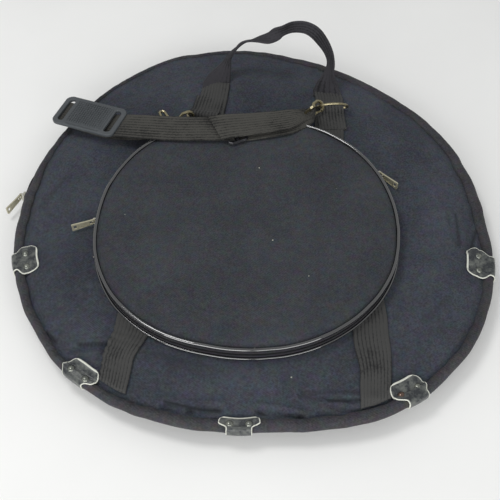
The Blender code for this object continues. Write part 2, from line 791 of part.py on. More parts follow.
def zip_slider(name, spot, along, outward):
    """A slider on its row of teeth, with the arch that holds its pull.

    Its local X runs along the teeth and its local Y points out of them.
    """
    place = frame_at(spot, along, outward)
    half = SLIDER_LENGTH / 2
    wide = SLIDER_WIDTH / 2
    nose = [(half, -wide / 2), (half, wide / 2), (half / 2, wide), (-half, wide * 3 / 4)]
    nose += [(-half, -wide * 3 / 4), (half / 2, -wide)]
    flat = place @ Matrix.Rotation(math.radians(-90.0), 4, "X")
    body = plate(name, [nose], SLIDER_THICK,
                 flat @ Matrix.Translation((0, 0, SLIDER_THICK / 2)))
    reach = ARCH_LENGTH / 2
    sunk = SLIDER_THICK / 2
    rise = SLIDER_THICK + ARCH_HEIGHT
    corner = ARCH_BAR * 0.8
    outer = [(-reach, sunk), (-reach, rise - corner), (-reach + corner, rise)]
    outer += [(reach - corner, rise), (reach, rise - corner), (reach, sunk)]
    inner = [(reach - ARCH_BAR, sunk), (reach - ARCH_BAR, rise - ARCH_BAR)]
    inner += [(-reach + ARCH_BAR, rise - ARCH_BAR), (-reach + ARCH_BAR, sunk)]
    arch = plate("arch", [outer + inner], ARCH_BAR, place)
    return keep(joined(body, arch), NICKEL), place


def zip_pull(name, place, degrees):
    """A tapered pull on a slider's arch, turned about its cross bar."""
    pivot = SLIDER_THICK + ARCH_HEIGHT - ARCH_BAR - math.hypot(PULL_BAR, PULL_THICK) / 2 - FIT
    axis = place @ Matrix.Translation((0, pivot, 0))
    swing = axis @ Matrix.Rotation(math.radians(degrees), 4, "Z")
    lying = swing @ Matrix.Rotation(math.radians(90.0), 4, "X")
    eye = PULL_EYE_LENGTH
    neck = PULL_NECK_WIDTH / 2
    tip = PULL_TIP_WIDTH / 2
    chamfer = PULL_RAIL / 2
    bar = PULL_BAR / 2
    outline = [(-bar, -neck + chamfer), (chamfer, -neck), (eye, -neck)]
    outline += [(PULL_LENGTH - chamfer, -tip), (PULL_LENGTH, -tip + chamfer)]
    outline += [(PULL_LENGTH, tip - chamfer), (PULL_LENGTH - chamfer, tip), (eye, neck)]
    outline += [(chamfer, neck), (-bar, neck - chamfer)]
    hole_end = PULL_LENGTH - PULL_HOLE_INSET
    window = rectangle(bar, eye, -PULL_EYE_WIDTH / 2, PULL_EYE_WIDTH / 2)
    hole = rectangle(hole_end - PULL_HOLE_LENGTH, hole_end,
                     -PULL_HOLE_WIDTH / 2, PULL_HOLE_WIDTH / 2)
    pull = plate(name, [outline, window, hole], PULL_THICK, lying)
    start = eye + PULL_RAIL
    end = hole_end - PULL_HOLE_LENGTH - PULL_RAIL
    recess = [(start, -neck + PULL_RAIL), (end, -tip + PULL_RAIL)]
    recess += [(end, tip - PULL_RAIL), (start, neck - PULL_RAIL)]
    level = PULL_THICK / 2
    for sign in (-1, 1):
        shift = Matrix.Translation((0, 0, sign * level))
        cut(pull, plate("recess", [recess], PULL_RECESS * 2, lying @ shift))
    done = settle(pull)
    for cutter in list(CUTTERS.objects):
        bpy.data.objects.remove(cutter, do_unlink=True)
    return keep(done, NICKEL), axis


def ring_path():
    """Return the middle line of a D-ring: bar on the local X axis, bow towards +Y."""
    half = RING_WIDTH / 2
    corner = RING_CORNER
    points = []
    for index in range(4):
        angle = math.radians(-90.0 + 30.0 * index)
        points.append((half - corner + corner * math.cos(angle),
                       corner + corner * math.sin(angle), 0))
    for index in range(1, 15):
        points.append(ring_bow(180.0 * index / 15))
    for index in range(4):
        angle = math.radians(180.0 + 30.0 * index)
        points.append((-half + corner + corner * math.cos(angle),
                       corner + corner * math.sin(angle), 0))
    return points


def ring_bow(degrees):
    """Return a point of a D-ring's bow."""
    angle = math.radians(degrees)
    return (RING_WIDTH / 2 * math.cos(angle),
            RING_CORNER + (RING_HEIGHT - RING_CORNER) * math.sin(angle), 0)


def ring_frame(side):
    """Return a D-ring's frame: bar along X, bow along Y."""
    down = -band_direction(side)
    bar = Vector((-down.y, down.x, 0)) * -1
    y = RIGHT_RING_Y if side > 0 else LEFT_RING_Y
    tilt = math.radians(RIGHT_RING_TILT_DEG if side > 0 else LEFT_RING_TILT_DEG)
    centre = band_centre(side, y) + Vector((0, 0, RING_BAR_Z))
    bow = down * math.cos(tilt) + Vector((0, 0, math.sin(tilt)))
    return frame_at(centre, -bar, bow)


def d_ring(side, name):
    """A D-ring with its straight bar in its tab."""
    return keep(soften(wire(name, ring_path(), RING_WIRE, True, ring_frame(side))), NICKEL)


def ring_tab(side, name):
    """The sewn webbing loop that holds a D-ring."""
    towards = band_direction(side) * (1 if side > 0 else -1)
    y = RIGHT_RING_Y if side > 0 else LEFT_RING_Y
    centre = band_centre(side, y) + Vector((0, 0, RING_BAR_Z))
    place = frame_at(centre, towards, (0, 0, 1))
    bend = RING_WIRE + FIT + WEBBING_THICK / 2
    low = TAB_BASE_Z - RING_BAR_Z
    high = low + TAB_LAYER
    points = [(-TAB_LENGTH, high), (-TAB_LENGTH / 3, high + FIT * 2), (-bend * 2, bend * 0.75)]
    for index in range(9):
        angle = math.radians(90.0 - 180.0 * index / 8)
        points.append((bend * math.cos(angle), bend * math.sin(angle)))
    points += [(-bend * 2, -bend), (-TAB_LENGTH / 3, low), (-TAB_LENGTH, low)]
    return keep(folded(name, points, WEBBING_WIDTH, WEBBING_THICK, place), WEBBING)


def hook_frame(side):
    """Return a snap hook's frame: X towards its tip, Z along the ring's wire."""
    ring = ring_frame(side)
    spot = ring @ Vector(ring_bow(HOOK_CORNER_DEG))
    ahead = ring @ Vector(ring_bow(HOOK_CORNER_DEG + 1.0))
    tangent = (ahead - spot).normalized()
    pull = (RIGHT_STRAP_PULL if side > 0 else LEFT_STRAP_PULL).normalized()
    pull = (pull - tangent * pull.dot(tangent)).normalized()
    return frame_at(spot, pull, tangent.cross(pull))


def snap_hook(side, name):
    """The hook's cast body: barrel, spine and bow, open where the gate shuts."""
    place = hook_frame(side)
    bow = HOOK_BOW
    neck = -HOOK_NECK
    points = [(neck - BARREL_LENGTH / 2, 0, 0), (neck, 0, 0), (neck * 0.80, -bow * 0.45, 0)]
    points += [(-bow, -bow * 0.90, 0)]
    for index in range(9):
        angle = math.radians(-90.0 + 22.5 * index)
        points.append((bow * math.cos(angle), bow * math.sin(angle), 0))
    hook = wire(name, points, HOOK_WIRE, False, place)
    middle = neck - BARREL_LENGTH / 2
    lying = place @ Matrix.Translation((middle, 0, 0)) @ Matrix.Rotation(math.radians(90.0), 4, "Y")
    lug = box("lug", (GATE_WIRE * 2, bow, GATE_WIRE * 3), (0, 0, 0))
    lug.matrix_world = place @ Matrix.Translation((neck - GATE_WIRE, bow * 0.60, 0))
    hook = joined(hook, cylinder("barrel", BARREL_RADIUS, BARREL_LENGTH, lying), lug)
    bore = place @ Matrix.Translation((neck - BARREL_LENGTH, 0, 0))
    bore = bore @ Matrix.Rotation(math.radians(90.0), 4, "Y")
    cut(hook, cylinder("bore", SWIVEL_PIN + FIT, BARREL_LENGTH, bore))
    done = settle(hook)
    for cutter in list(CUTTERS.objects):
        bpy.data.objects.remove(cutter, do_unlink=True)
    return keep(soften(done), NICKEL)


def gate_pivot(side):
    """Return the frame of a gate's hinge."""
    place = hook_frame(side)
    return place @ Matrix.Translation((-GATE_HINGE, HOOK_BOW * 0.86, 0))


def hook_gate(side, name):
    """The sprung gate that shuts a hook."""
    place = gate_pivot(side)
    tip = (GATE_HINGE - FIT * 2, HOOK_BOW * 0.14, 0)
    gate = wire(name, [(0, 0, 0), (tip[0] / 2, tip[1] / 2, 0), tip], GATE_WIRE, False, place)
    knuckle = cylinder("knuckle", GATE_WIRE * 1.3, GATE_WIRE * 3, place)
    return keep(soften(joined(gate, knuckle)), NICKEL)


def eye_frame(side):
    """Return a swivel eye's frame: X towards the hook, Y along the strap's width."""
    hook = hook_frame(side)
    forward = hook.to_3x3() @ Vector((1, 0, 0))
    lean = RIGHT_EYE_LEAN if side > 0 else LEFT_EYE_LEAN
    start = -(HOOK_NECK + BARREL_LENGTH + FIT)
    return frame_at(hook @ Vector((start, 0, 0)), forward, lean)


def swivel_eye(side, name):
    """The loop that the strap is sewn round, with its pin in the hook's barrel."""
    place = eye_frame(side)
    half = (WEBBING_WIDTH + EYE_WIRE * 2 + FIT * 4) / 2
    collar = SWIVEL_COLLAR
    back = -collar - EYE_REACH
    corner = EYE_WIRE
    points = [(-collar, corner, 0), (-collar - corner, half - corner, 0)]
    points += [(-collar - corner * 2, half, 0), (back + corner, half, 0), (back, half - corner, 0)]
    mirrored = [(x, -y, z) for x, y, z in reversed(points)]
    loop = wire(name, points + mirrored, EYE_WIRE, True, place)
    lying = Matrix.Rotation(math.radians(90.0), 4, "Y")
    ring = cylinder("collar", collar, collar + EYE_WIRE,
                    place @ Matrix.Translation((-(collar + EYE_WIRE) / 2, 0, 0)) @ lying)
    pin_length = BARREL_LENGTH / 2 - FIT * 2 + collar
    pin = cylinder("pin", SWIVEL_PIN, pin_length,
                   place @ Matrix.Translation((pin_length / 2 - collar, 0, 0)) @ lying)
    return keep(soften(joined(loop, ring, pin)), NICKEL)


def eye_bar(side):
    """Return the frame of the bar that the strap is sewn round."""
    place = eye_frame(side)
    return place @ Matrix.Translation((-SWIVEL_COLLAR - EYE_REACH, 0, 0))


def sleeve(place, bar_radius, width):
    """Return the webbing tube round a bar that lies along the local Y."""
    outer = bar_radius + FIT + WEBBING_THICK
    lying = place @ Matrix.Rotation(math.radians(90.0), 4, "X")
    tube = cylinder("sleeve", outer, width, lying)
    return tube


def bored(obj, place, bar_radius):
    """Return a strap with the bore for its bar cut through its sleeve."""
    lying = place @ Matrix.Rotation(math.radians(90.0), 4, "X")
    cut(obj, cylinder("bore", bar_radius + FIT, WEBBING_WIDTH + OVERRUN, lying))
    done = settle(obj)
    for cutter in list(CUTTERS.objects):
        bpy.data.objects.remove(cutter, do_unlink=True)
    return done


def glide_frame():
    """Return the tri-glide's frame: its bars lie along the local Y."""
    turn = math.radians(GLIDE_TURN_DEG)
    across = Vector((-math.cos(turn), -math.sin(turn), 0))
    return frame_at((GLIDE_X, GLIDE_Y, GLIDE_Z), across.cross(Vector((0, 0, -1))), across)


def tri_glide():
    """The strap adjuster: a wire frame with a middle bar."""
    place = glide_frame()
    half = GLIDE_LENGTH / 2
    wide = GLIDE_WIDTH / 2
    corner = GLIDE_WIRE * 1.6
    points = [(wide, half - corner, 0), (wide - corner, half, 0), (-wide + corner, half, 0)]
    points += [(-wide, half - corner, 0), (-wide, -half + corner, 0), (-wide + corner, -half, 0)]
    points += [(wide - corner, -half, 0), (wide, -half + corner, 0)]
    frame = wire("tri_glide", points, GLIDE_WIRE, True, place)
    lying = place @ Matrix.Rotation(math.radians(90.0), 4, "X")
    bar = cylinder("bar", GLIDE_WIRE * 0.9, GLIDE_LENGTH - GLIDE_WIRE, lying)
    return keep(soften(joined(frame, bar)), NICKEL)


# The strap's route over the bag, right to left, by its middle line
UPPER_ROUTE = (
    (0.048, 0.1355, 0.0645), (0.040, 0.1290, 0.0668), (0.018, 0.1175, 0.0665), (-0.011, 0.1090, 0.0672),
    (-0.033, 0.1045, 0.0675), (-0.052, 0.1025, 0.0668), (-0.075, 0.1012, 0.0640),
    (-0.102, 0.1010, 0.0620), (-0.141, 0.1025, 0.0595), (-0.168, 0.1055, 0.0545),
    (-0.186, 0.1095, 0.0475), (-0.225, 0.1240, 0.0455), (-0.256, 0.1340, 0.0445))
DOUBLED_ROUTE = (
    (0.049, 0.1355, 0.0603), (0.040, 0.1290, 0.0632), (0.018, 0.1160, 0.0595), (-0.008, 0.1065, 0.0574))
TWIST_SHARES = (1.0, 0.70, 0.30, 0.0)
RETURN_ROUTE = (
    (-0.261, 0.1355, 0.0425), (-0.225, 0.1240, 0.0425), (-0.190, 0.1130, 0.0425),
    (-0.160, 0.1110, 0.0440))


def shoulder_strap():
    """The strap from the right hook to the pad, with the end that comes back to the tri-glide."""
    bar = eye_bar(1)
    spot = bar.translation
    glide = glide_frame()
    offset = EYE_WIRE + FIT + WEBBING_THICK / 2
    normal = bar.to_3x3() @ Vector((0, 0, 1))
    if normal.z < 0:
        normal = -normal
    top = spot + normal * offset
    low = spot - normal * offset
    width_axis = bar.to_3x3() @ Vector((0, 1, 0))
    glide_bar = GLIDE_WIRE * 0.9
    upper = strip("shoulder_strap", [tuple(top), *UPPER_ROUTE], WEBBING_WIDTH, WEBBING_THICK,
                  width_axis, TWIST_SHARES)
    glide_low = glide.translation - Vector((0, 0, glide_bar + FIT + WEBBING_THICK * 0.8))
    past_bar = glide_low - Vector((WEBBING_THICK * 3, 0, 0))
    points = [tuple(low), *DOUBLED_ROUTE, tuple(glide_low), tuple(past_bar)]
    doubled = strip("doubled", points, WEBBING_WIDTH, WEBBING_THICK, width_axis, TWIST_SHARES)
    sewn = sleeve(bar, EYE_WIRE, WEBBING_WIDTH)
    caught = sleeve(glide, glide_bar, WEBBING_WIDTH)
    whole = joined(upper, sewn, doubled, caught)
    return keep(bored(bored(whole, bar, EYE_WIRE), glide, glide_bar), WEBBING)


def strap_return():
    """The webbing that folds back under the pad and runs to the left hook."""
    bar = eye_bar(-1)
    points = [*RETURN_ROUTE, tuple(bar.translation)]
    back = strap("strap_return", points, WEBBING_WIDTH, WEBBING_THICK)
    back = joined(back, sleeve(bar, EYE_WIRE, WEBBING_WIDTH))
    return keep(bored(back, bar, EYE_WIRE), WEBBING)


def shoulder_pad():
    """The ribbed pad with a slot at each end."""
    tilt = Matrix.Rotation(math.radians(PAD_TILT_DEG), 4, "Y")
    turn = Matrix.Rotation(math.radians(PAD_TURN_DEG), 4, "Z")
    place = Matrix.Translation((PAD_X, PAD_Y, PAD_Z)) @ turn @ tilt
    half = PAD_LENGTH / 2
    wide = PAD_WIDTH / 2
    outline = []
    for index in range(PAD_OUTLINE_STEPS):
        angle = math.tau * (index + 0.5) / PAD_OUTLINE_STEPS
        across = math.copysign(abs(math.sin(angle)) ** PAD_SIDE_SHARE, math.sin(angle))
        along = math.copysign(abs(math.cos(angle)) ** PAD_END_SHARE, math.cos(angle))
        outline.append((half * along, wide * across))
    slots = []
    for sign in (-1, 1):
        middle = sign * (half - PAD_SLOT_INSET)
        slots.append(rounded_slot(middle, PAD_SLOT_LENGTH, PAD_SLOT_WIDTH))
    pad = plate("shoulder_pad", [outline, *slots], PAD_THICK, place)
    room = PAD_LENGTH - (PAD_SLOT_INSET + PAD_SLOT_WIDTH) * 2
    ribs = []
    for index in range(PAD_RIB_COUNT):
        shift = (index - (PAD_RIB_COUNT - 1) / 2) * room / PAD_RIB_COUNT
        rib_place = place @ Matrix.Translation((shift, 0, PAD_THICK / 2))
        rib = box("rib", (PAD_RIB_WIDTH, PAD_WIDTH - PAD_SLOT_WIDTH, PAD_RIB_HEIGHT * 2), (0, 0, 0))
        rib.matrix_world = rib_place
        ribs.append(rib)
    return keep(joined(pad, *ribs), RUBBER)


def build_shell():
    """Model the bag's body and its opening front."""
    reach = BAG_RADIUS + OVERRUN
    back_panel()
    back_binding()
    lower_gusset()
    tapes = zip_tapes()
    front_cover("front_panel", -reach, FOLD_Y - FIT / 2)
    flap = front_cover("front_flap", FOLD_Y + FIT / 2, reach)
    front_binding("front_binding", -reach, FOLD_Y - FIT / 2)
    edge = front_binding("flap_binding", FOLD_Y + FIT / 2, reach)
    for index in range(GUARD_COUNT):
        guard(index)
    lower_band(-1, "left_band")
    lower_band(1, "right_band")
    bands = [upper_band(-1, "left_flap_band"), upper_band(1, "right_flap_band")]
    handle = carrying_handle()
    flap_axis = on_axis("front_flap_axis", (0, FOLD_Y, HINGE_Z), flap, edge,
                        tapes["main_zip_flap_tape"], *bands)
    handle_axis = on_axis("handle_axis", (0, HANDLE_AXIS_Y, HANDLE_AXIS_Z), handle)
    handle_axis.parent = flap_axis
    handle_axis.matrix_parent_inverse = flap_axis.matrix_world.inverted()


def build_pocket():
    """Model the front pocket with its opening front."""
    reach = BAG_RADIUS
    pocket_wall()
    base_piping()
    pocket_front("pocket_top_panel", POCKET_FOLD_Y + FIT / 2, reach)
    top_piping("pocket_top_piping", POCKET_FOLD_Y + FIT / 2, reach)
    pieces = [pocket_front("pocket_flap", -reach, POCKET_FOLD_Y - FIT / 2)]
    pieces.append(top_piping("pocket_flap_piping", -reach, POCKET_FOLD_Y - FIT / 2))
    pieces.append(pocket_skirt())
    on_axis("pocket_flap_axis", (0, POCKET_FOLD_Y, POCKET_CROWN + FIT), *pieces)


def build_zippers():
    """Model the three sliders and their pulls."""
    main_seat = SIDE_OUTER + TEETH_OUT + FIT
    pocket_seat = WALL_OUTER + TEETH_OUT / 2 + FIT
    runs = (
        ("main", main_seat, MAIN_SLIDER_DEG, SIDE_MIDDLE, 0.0, MAIN_PULL_DEG, 1),
        ("pocket_left", pocket_seat, POCKET_LEFT_SLIDER_DEG, POCKET_ZIP_Z, POCKET_CENTRE_Y,
         LEFT_PULL_DEG, 1),
        ("pocket_right", pocket_seat, POCKET_RIGHT_SLIDER_DEG, POCKET_ZIP_Z, POCKET_CENTRE_Y,
         RIGHT_PULL_DEG, -1),
    )
    for label, seat, azimuth, height, centre_y, swing, sign in runs:
        outward = polar(1.0, azimuth, 0)
        along = Vector((-outward.y, outward.x, 0)) * sign
        spot = polar(seat, azimuth, height, centre_y)
        slider, place = zip_slider(label + "_slider", spot, along, outward)
        pull, axis = zip_pull(label + "_pull", place, swing)
        slider_axis = on_axis(label + "_slider_axis", (0, centre_y, height), slider)
        pull_axis = on_axis(label + "_pull_axis", axis.translation, pull)
        pull_axis.parent = slider_axis
        pull_axis.matrix_parent_inverse = slider_axis.matrix_world.inverted()


def build_harness():
    """Model the rings, hooks, strap and pad."""
    for side, label in ((-1, "left"), (1, "right")):
        ring_tab(side, label + "_ring_tab")
        ring = d_ring(side, label + "_d_ring")
        on_axis(label + "_ring_axis", ring_frame(side).translation, ring)
        eye = swivel_eye(side, label + "_swivel_eye")
        hook = snap_hook(side, label + "_snap_hook")
        gate = hook_gate(side, label + "_hook_gate")
        hook_axis = on_axis(label + "_hook_axis", eye_frame(side).translation, hook)
        gate_axis = on_axis(label + "_gate_axis", gate_pivot(side).translation, gate)
        gate_axis.parent = hook_axis
        gate_axis.matrix_parent_inverse = hook_axis.matrix_world.inverted()
        eye.data.shade_smooth()
    tri_glide()
    shoulder_strap()
    strap_return()
    on_axis("pad_axis", (PAD_X, PAD_Y, PAD_Z), shoulder_pad())


build_shell()
build_pocket()
build_zippers()
build_harness()
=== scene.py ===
"""Looks of a round soft cymbal bag: padded cloth, webbing, vinyl guards and hardware."""

import logging
import math
from collections.abc import Callable
from dataclasses import dataclass
from enum import Enum

import bmesh
import bpy
from mathutils import Matrix, Vector, noise
from mathutils.bvhtree import BVHTree


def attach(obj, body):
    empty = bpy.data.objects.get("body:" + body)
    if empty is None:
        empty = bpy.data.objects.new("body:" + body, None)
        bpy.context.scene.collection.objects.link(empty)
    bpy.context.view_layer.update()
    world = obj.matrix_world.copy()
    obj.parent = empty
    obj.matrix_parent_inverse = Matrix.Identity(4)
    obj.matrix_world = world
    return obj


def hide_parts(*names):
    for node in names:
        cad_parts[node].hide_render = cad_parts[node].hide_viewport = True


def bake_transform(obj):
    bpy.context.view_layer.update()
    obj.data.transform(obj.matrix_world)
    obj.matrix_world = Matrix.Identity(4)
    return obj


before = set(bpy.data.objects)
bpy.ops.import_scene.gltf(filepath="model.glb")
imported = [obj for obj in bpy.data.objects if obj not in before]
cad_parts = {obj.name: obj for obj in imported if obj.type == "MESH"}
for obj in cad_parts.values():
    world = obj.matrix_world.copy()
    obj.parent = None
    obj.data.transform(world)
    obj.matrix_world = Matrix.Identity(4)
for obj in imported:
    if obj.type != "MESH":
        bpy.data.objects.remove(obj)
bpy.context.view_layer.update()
LOG = logging.getLogger("cymbal_bag")
MM = 0.001

# The shapes that several pieces share, in metres
RIM_RADIUS = 0.300
PANEL_RADIUS = 0.2852
POCKET_RADIUS = 0.180
POCKET_Y = -0.042
POCKET_FOLD_Y = 0.053
TOOTH_PITCH = 0.0022
RIB_POWER = 0.6

# Where the soft shape starts to leave the true circle and where it is all the way off it,
# the height above which the front's strip rolls outwards, and the radii where that starts
# and ends
DRIFT_FROM = 0.19
DRIFT_WHOLE = 0.282
FACE_FROM = 0.0235
ROLL_FROM = 0.262
ROLL_END = 0.2995

# Soft departures from the true circles, in millimetres, every 20 degrees from +X:
# the rim's outline, how far its strip has rolled outwards, and the pocket's outline
RIM_DRIFT = (-10.5, -15, -17, -17, -10, 3, 4.5, -8, -15.5, -14, -5.5, 1, 6, 1, -2, 14, 15.5, 6)
RIM_ROLL = (1.5, 1.5, 3, 3, 5, 8.5, 9, 9, 7.5, 3, 3.5, 5.5, 5.5, 3, 2, 2, 4.5, 3.5)
POCKET_DRIFT = (-3, -2, 0.5, 0, -1, 0, 2.5, 4.5, 3.5, 2, 4, 4, -0.5, -6.5, -7, -4.5, -3, -1.5)

# The azimuths of the rim's guards in degrees, from the left one round to the right one,
# and where each one's shape differs from the usual, in metres
GUARD_AZIMUTHS = (-158.9, -125.1, -88.4, -51.6, -13.5)
GUARD_SHAPES = (
    {"neck": 0.0250},
    {"reach": 0.0245, "lobe": 0.0225, "lift": 0.0030, "lean": 0.005},
    {"reach": 0.0170, "lobe": 0.0125, "corner": 0.0055, "rivet_back": 0.008, "width": 0.0455},
    {"reach": 0.0275, "lobe": 0.0205, "lift": 0.0030, "lean": -0.004, "width": 0.0390,
     "neck": 0.0245},
    {"reach": 0.0335, "lobe": 0.0235})

# A rivet's domed cap and the flange round it, in millimetres
RIVET_PROFILE = [(0.0, 2.0), (1.1, 1.95), (2.1, 1.65), (3.0, 1.15), (3.6, 0.5), (3.7, 0.1),
                 (4.2, 0.0), (4.2, -0.4), (0.0, -0.5)]


class Side(Enum):
    """The two sides of the harness, seen from the front."""

    LEFT = -1
    RIGHT = 1


# ---------------------------------------------------------------- small maths


def hex_colour(code: str) -> tuple[float, float, float, float]:
    """Turn an sRGB hex colour to the linear colour that a shader takes.

    Args:
        code: six hex digits, with or without a leading hash.

    Returns:
        Linear red, green, blue and an alpha of 1.
    """
    code = code.lstrip("#")
    channels = []
    for start in (0, 2, 4):
        value = int(code[start:start + 2], 16) / 255.0
        channels.append(value / 12.92 if value <= 0.04045 else ((value + 0.055) / 1.055) ** 2.4)
    return (*channels, 1.0)


def ease(value: float, low: float, high: float) -> float:
    """Return 0 below low, 1 above high and a smooth step between them."""
    share = max(0.0, min(1.0, (value - low) / (high - low)))
    return share * share * (3.0 - 2.0 * share)


def heading(angle: float, height: float = 0.0) -> Vector:
    """Return the point one unit out from the axis at an azimuth, at a height."""
    return Vector((math.cos(angle), math.sin(angle), height))


def run_length(points: list[Vector]) -> float:
    """Return the length of the line through some points."""
    return sum((b - a).length for a, b in zip(points, points[1:]))


def off_radius(radius: float, section: list[tuple[float, float]]) -> list[tuple[float, float]]:
    """Turn a section in millimetres off a radius to (radius, height) points in metres."""
    return [(radius + out * MM, height * MM) for out, height in section]


def smooth_run(points: list[Vector]) -> list[Vector]:
    """Return many points of a smooth curve through a few, twelve to a span."""
    ends = [points[0] * 2 - points[1], *points, points[-1] * 2 - points[-2]]
    dense = []
    for index in range(1, len(ends) - 2):
        before, first, second, after = ends[index - 1:index + 3]
        for step in range(12):
            t = step / 12.0
            dense.append(0.5 * (2 * first + (second - before) * t
                                + (2 * before - 5 * first + 4 * second - after) * t * t
                                + (3 * first - before - 3 * second + after) * t * t * t))
    dense.append(points[-1].copy())
    return dense


def paired(points: list[Vector], others: list[Vector], count: int) -> tuple[list, list]:
    """Spread a smooth curve evenly along its length, with a second one beside it.

    Args:
        points: the points that the curve goes through.
        others: one value beside each point, carried along with it.
        count: how many points both are given back with.

    Returns:
        The curve's points and the values beside them.
    """
    dense, beside = smooth_run(points), smooth_run(others)
    reach = [0.0]
    for first, second in zip(dense, dense[1:]):
        reach.append(reach[-1] + (second - first).length)
    spread, values = [], []
    index = 0
    for step in range(count):
        wanted = reach[-1] * step / (count - 1)
        while index < len(dense) - 2 and reach[index + 1] < wanted:
            index += 1
        span = max(reach[index + 1] - reach[index], 1e-9)
        share = min(1.0, (wanted - reach[index]) / span)
        spread.append(dense[index].lerp(dense[index + 1], share))
        values.append(beside[index].lerp(beside[index + 1], share))
    return spread, values


def catmull(points: list[Vector], count: int) -> list[Vector]:
    """Return evenly spread points of a smooth curve through a few."""
    return paired(points, points, count)[0]


def between(table: tuple, y: float) -> float:
    """Return a value from (place, value) pairs, smoothly joined, places rising."""
    for (low, first), (high, second) in zip(table, table[1:]):
        if y <= high:
            return first + (second - first) * ease(y, low, high)
    return table[-1][1]


def round_table(table: tuple, angle: float) -> float:
    """Return a smoothly joined value, in metres, from a table round the circle."""
    count = len(table)
    turned = (angle % math.tau) / math.tau * count
    index = int(turned)
    t = turned - index
    before, first, second, after = (table[(index + step) % count] for step in (-1, 0, 1, 2))
    return 0.5 * MM * (2 * first + (second - before) * t
                       + (2 * before - 5 * first + 4 * second - after) * t * t
                       + (3 * first - before - 3 * second + after) * t ** 3)


def rim_ripple(angle: float) -> float:
    """Return the rim's small ripples at an azimuth, in metres."""
    spot = heading(angle, 0.37)
    slow = noise.noise(spot * 5.0) * 1.6
    quick = noise.noise(spot * 15.0 + Vector((3.1, 0.7, 1.9))) * 1.3
    return (slow + quick) * MM


def settled(point: Vector, share: float = 1.0) -> Vector:
    """Move a point of the true round bag to where the soft one lies.

    Args:
        point: a point of the round shape.
        share: how much of the rim's drift it takes.

    Returns:
        The point on the soft shape.
    """
    radius = math.hypot(point.x, point.y)
    if radius < DRIFT_FROM:
        return point.copy()
    angle = math.atan2(point.y, point.x)
    weight = ease(radius, DRIFT_FROM, DRIFT_WHOLE) * share
    grown = radius + weight * (round_table(RIM_DRIFT, angle) + rim_ripple(angle))
    if point.z > FACE_FROM:
        rolled = ease(radius, ROLL_FROM, PANEL_RADIUS) * (1 - ease(radius, PANEL_RADIUS, ROLL_END))
        grown += rolled * share * round_table(RIM_ROLL, angle)
    spot = heading(angle, 2.2) * 3.5
    lift = weight * noise.noise(spot) * 1.6 * MM * min(1.0, max(0.0, point.z) / 0.03)
    # the empty bag's top lies flatter than its full lower half
    slack = ease(point.y, 0.10, 0.25) * ease(radius, 0.20, 0.28)
    lift -= 0.45 * slack * max(0.0, point.z - 0.0227)
    return Vector((grown * math.cos(angle), grown * math.sin(angle), point.z + lift))


def settled_inside(spot: Vector) -> float:
    """Return a spot's radius with the soft rim's drift taken off."""
    angle = math.atan2(spot.y, spot.x)
    return spot.length - round_table(RIM_DRIFT, angle) - rim_ripple(angle)


# ---------------------------------------------------------------- meshes


def to_object(bm: bmesh.types.BMesh, name: str, *materials: bpy.types.Material,
              smooth: bool = True) -> bpy.types.Object:
    """Finish a bmesh as a new object at the origin.

    Args:
        bm: the shape, which is freed.
        name: the new object's name.
        materials: its materials, in the order of its slots.
        smooth: whether its faces are shaded smooth.

    Returns:
        The linked object.
    """
    mesh = bpy.data.meshes.new(name)
    bm.to_mesh(mesh)
    bm.free()
    if smooth:
        mesh.shade_smooth()
    for material in materials:
        mesh.materials.append(material)
    obj = bpy.data.objects.new(name, mesh)
    bpy.context.scene.collection.objects.link(obj)
    return obj


def applied(obj: bpy.types.Object) -> bpy.types.Object:
    """Turn an object's modifiers, or a curve, into its own mesh at the origin."""
    bpy.context.view_layer.update()
    depsgraph = bpy.context.evaluated_depsgraph_get()
    mesh = bpy.data.meshes.new_from_object(obj.evaluated_get(depsgraph))
    mesh.transform(obj.matrix_world)
    name = obj.name
    bpy.data.objects.remove(obj, do_unlink=True)
    done = bpy.data.objects.new(name, mesh)
    bpy.context.scene.collection.objects.link(done)
    return done


def lathe(profile: list[tuple[float, float]], steps: int, low: float = 0.0,
          sweep: float = math.tau) -> bmesh.types.BMesh:
    """Turn a profile of (radius, height) points about the vertical axis.

    Args:
        profile: the section's points; a ring's section closes on itself.
        steps: the number of steps round.
        low: the azimuth where it starts, in radians.
        sweep: how far round it goes, in radians.

    Returns:
        The turned shape, with its normals outwards.
    """
    bm = bmesh.new()
    turn = Matrix.Rotation(low, 4, "Z")
    verts = [bm.verts.new(turn @ Vector((radius, 0, height))) for radius, height in profile]
    ring = profile[0][0] > 1e-6
    edges = [bm.edges.new(pair) for pair in zip(verts, verts[1:])]
    if ring:
        edges.append(bm.edges.new((verts[-1], verts[0])))
    full = abs(sweep - math.tau) < 1e-6
    bmesh.ops.spin(bm, geom=verts + edges, cent=(0, 0, 0), axis=(0, 0, 1), angle=sweep,
                   steps=steps, use_merge=full, use_duplicate=False)
    bmesh.ops.remove_doubles(bm, verts=bm.verts, dist=1e-6)
    if not full:
        rims = [edge for edge in bm.edges if len(edge.link_faces) == 1]
        bmesh.ops.holes_fill(bm, edges=rims, sides=0)
    bmesh.ops.recalc_face_normals(bm, faces=bm.faces)
    return bm


def moved(bm: bmesh.types.BMesh, rule: Callable[[Vector], Vector]) -> bmesh.types.BMesh:
    """Move every vertex of a bmesh by a rule from point to point."""
    for vert in bm.verts:
        vert.co = rule(vert.co)
    return bm


def thickened(obj: bpy.types.Object, thickness: float, offset: float = 0.0,
              rim: int = 0) -> bpy.types.Object:
    """Give a sheet its thickness and make it one mesh.

    Args:
        obj: the sheet.
        thickness: in metres.
        offset: where the sheet lies in its thickness, from -1 to 1.
        rim: how many material slots on from its face's the edge takes its own.

    Returns:
        The closed piece.
    """
    solid = obj.modifiers.new("Thickness", "SOLIDIFY")
    solid.thickness = thickness
    solid.offset = offset
    solid.material_offset_rim = rim
    return applied(obj)


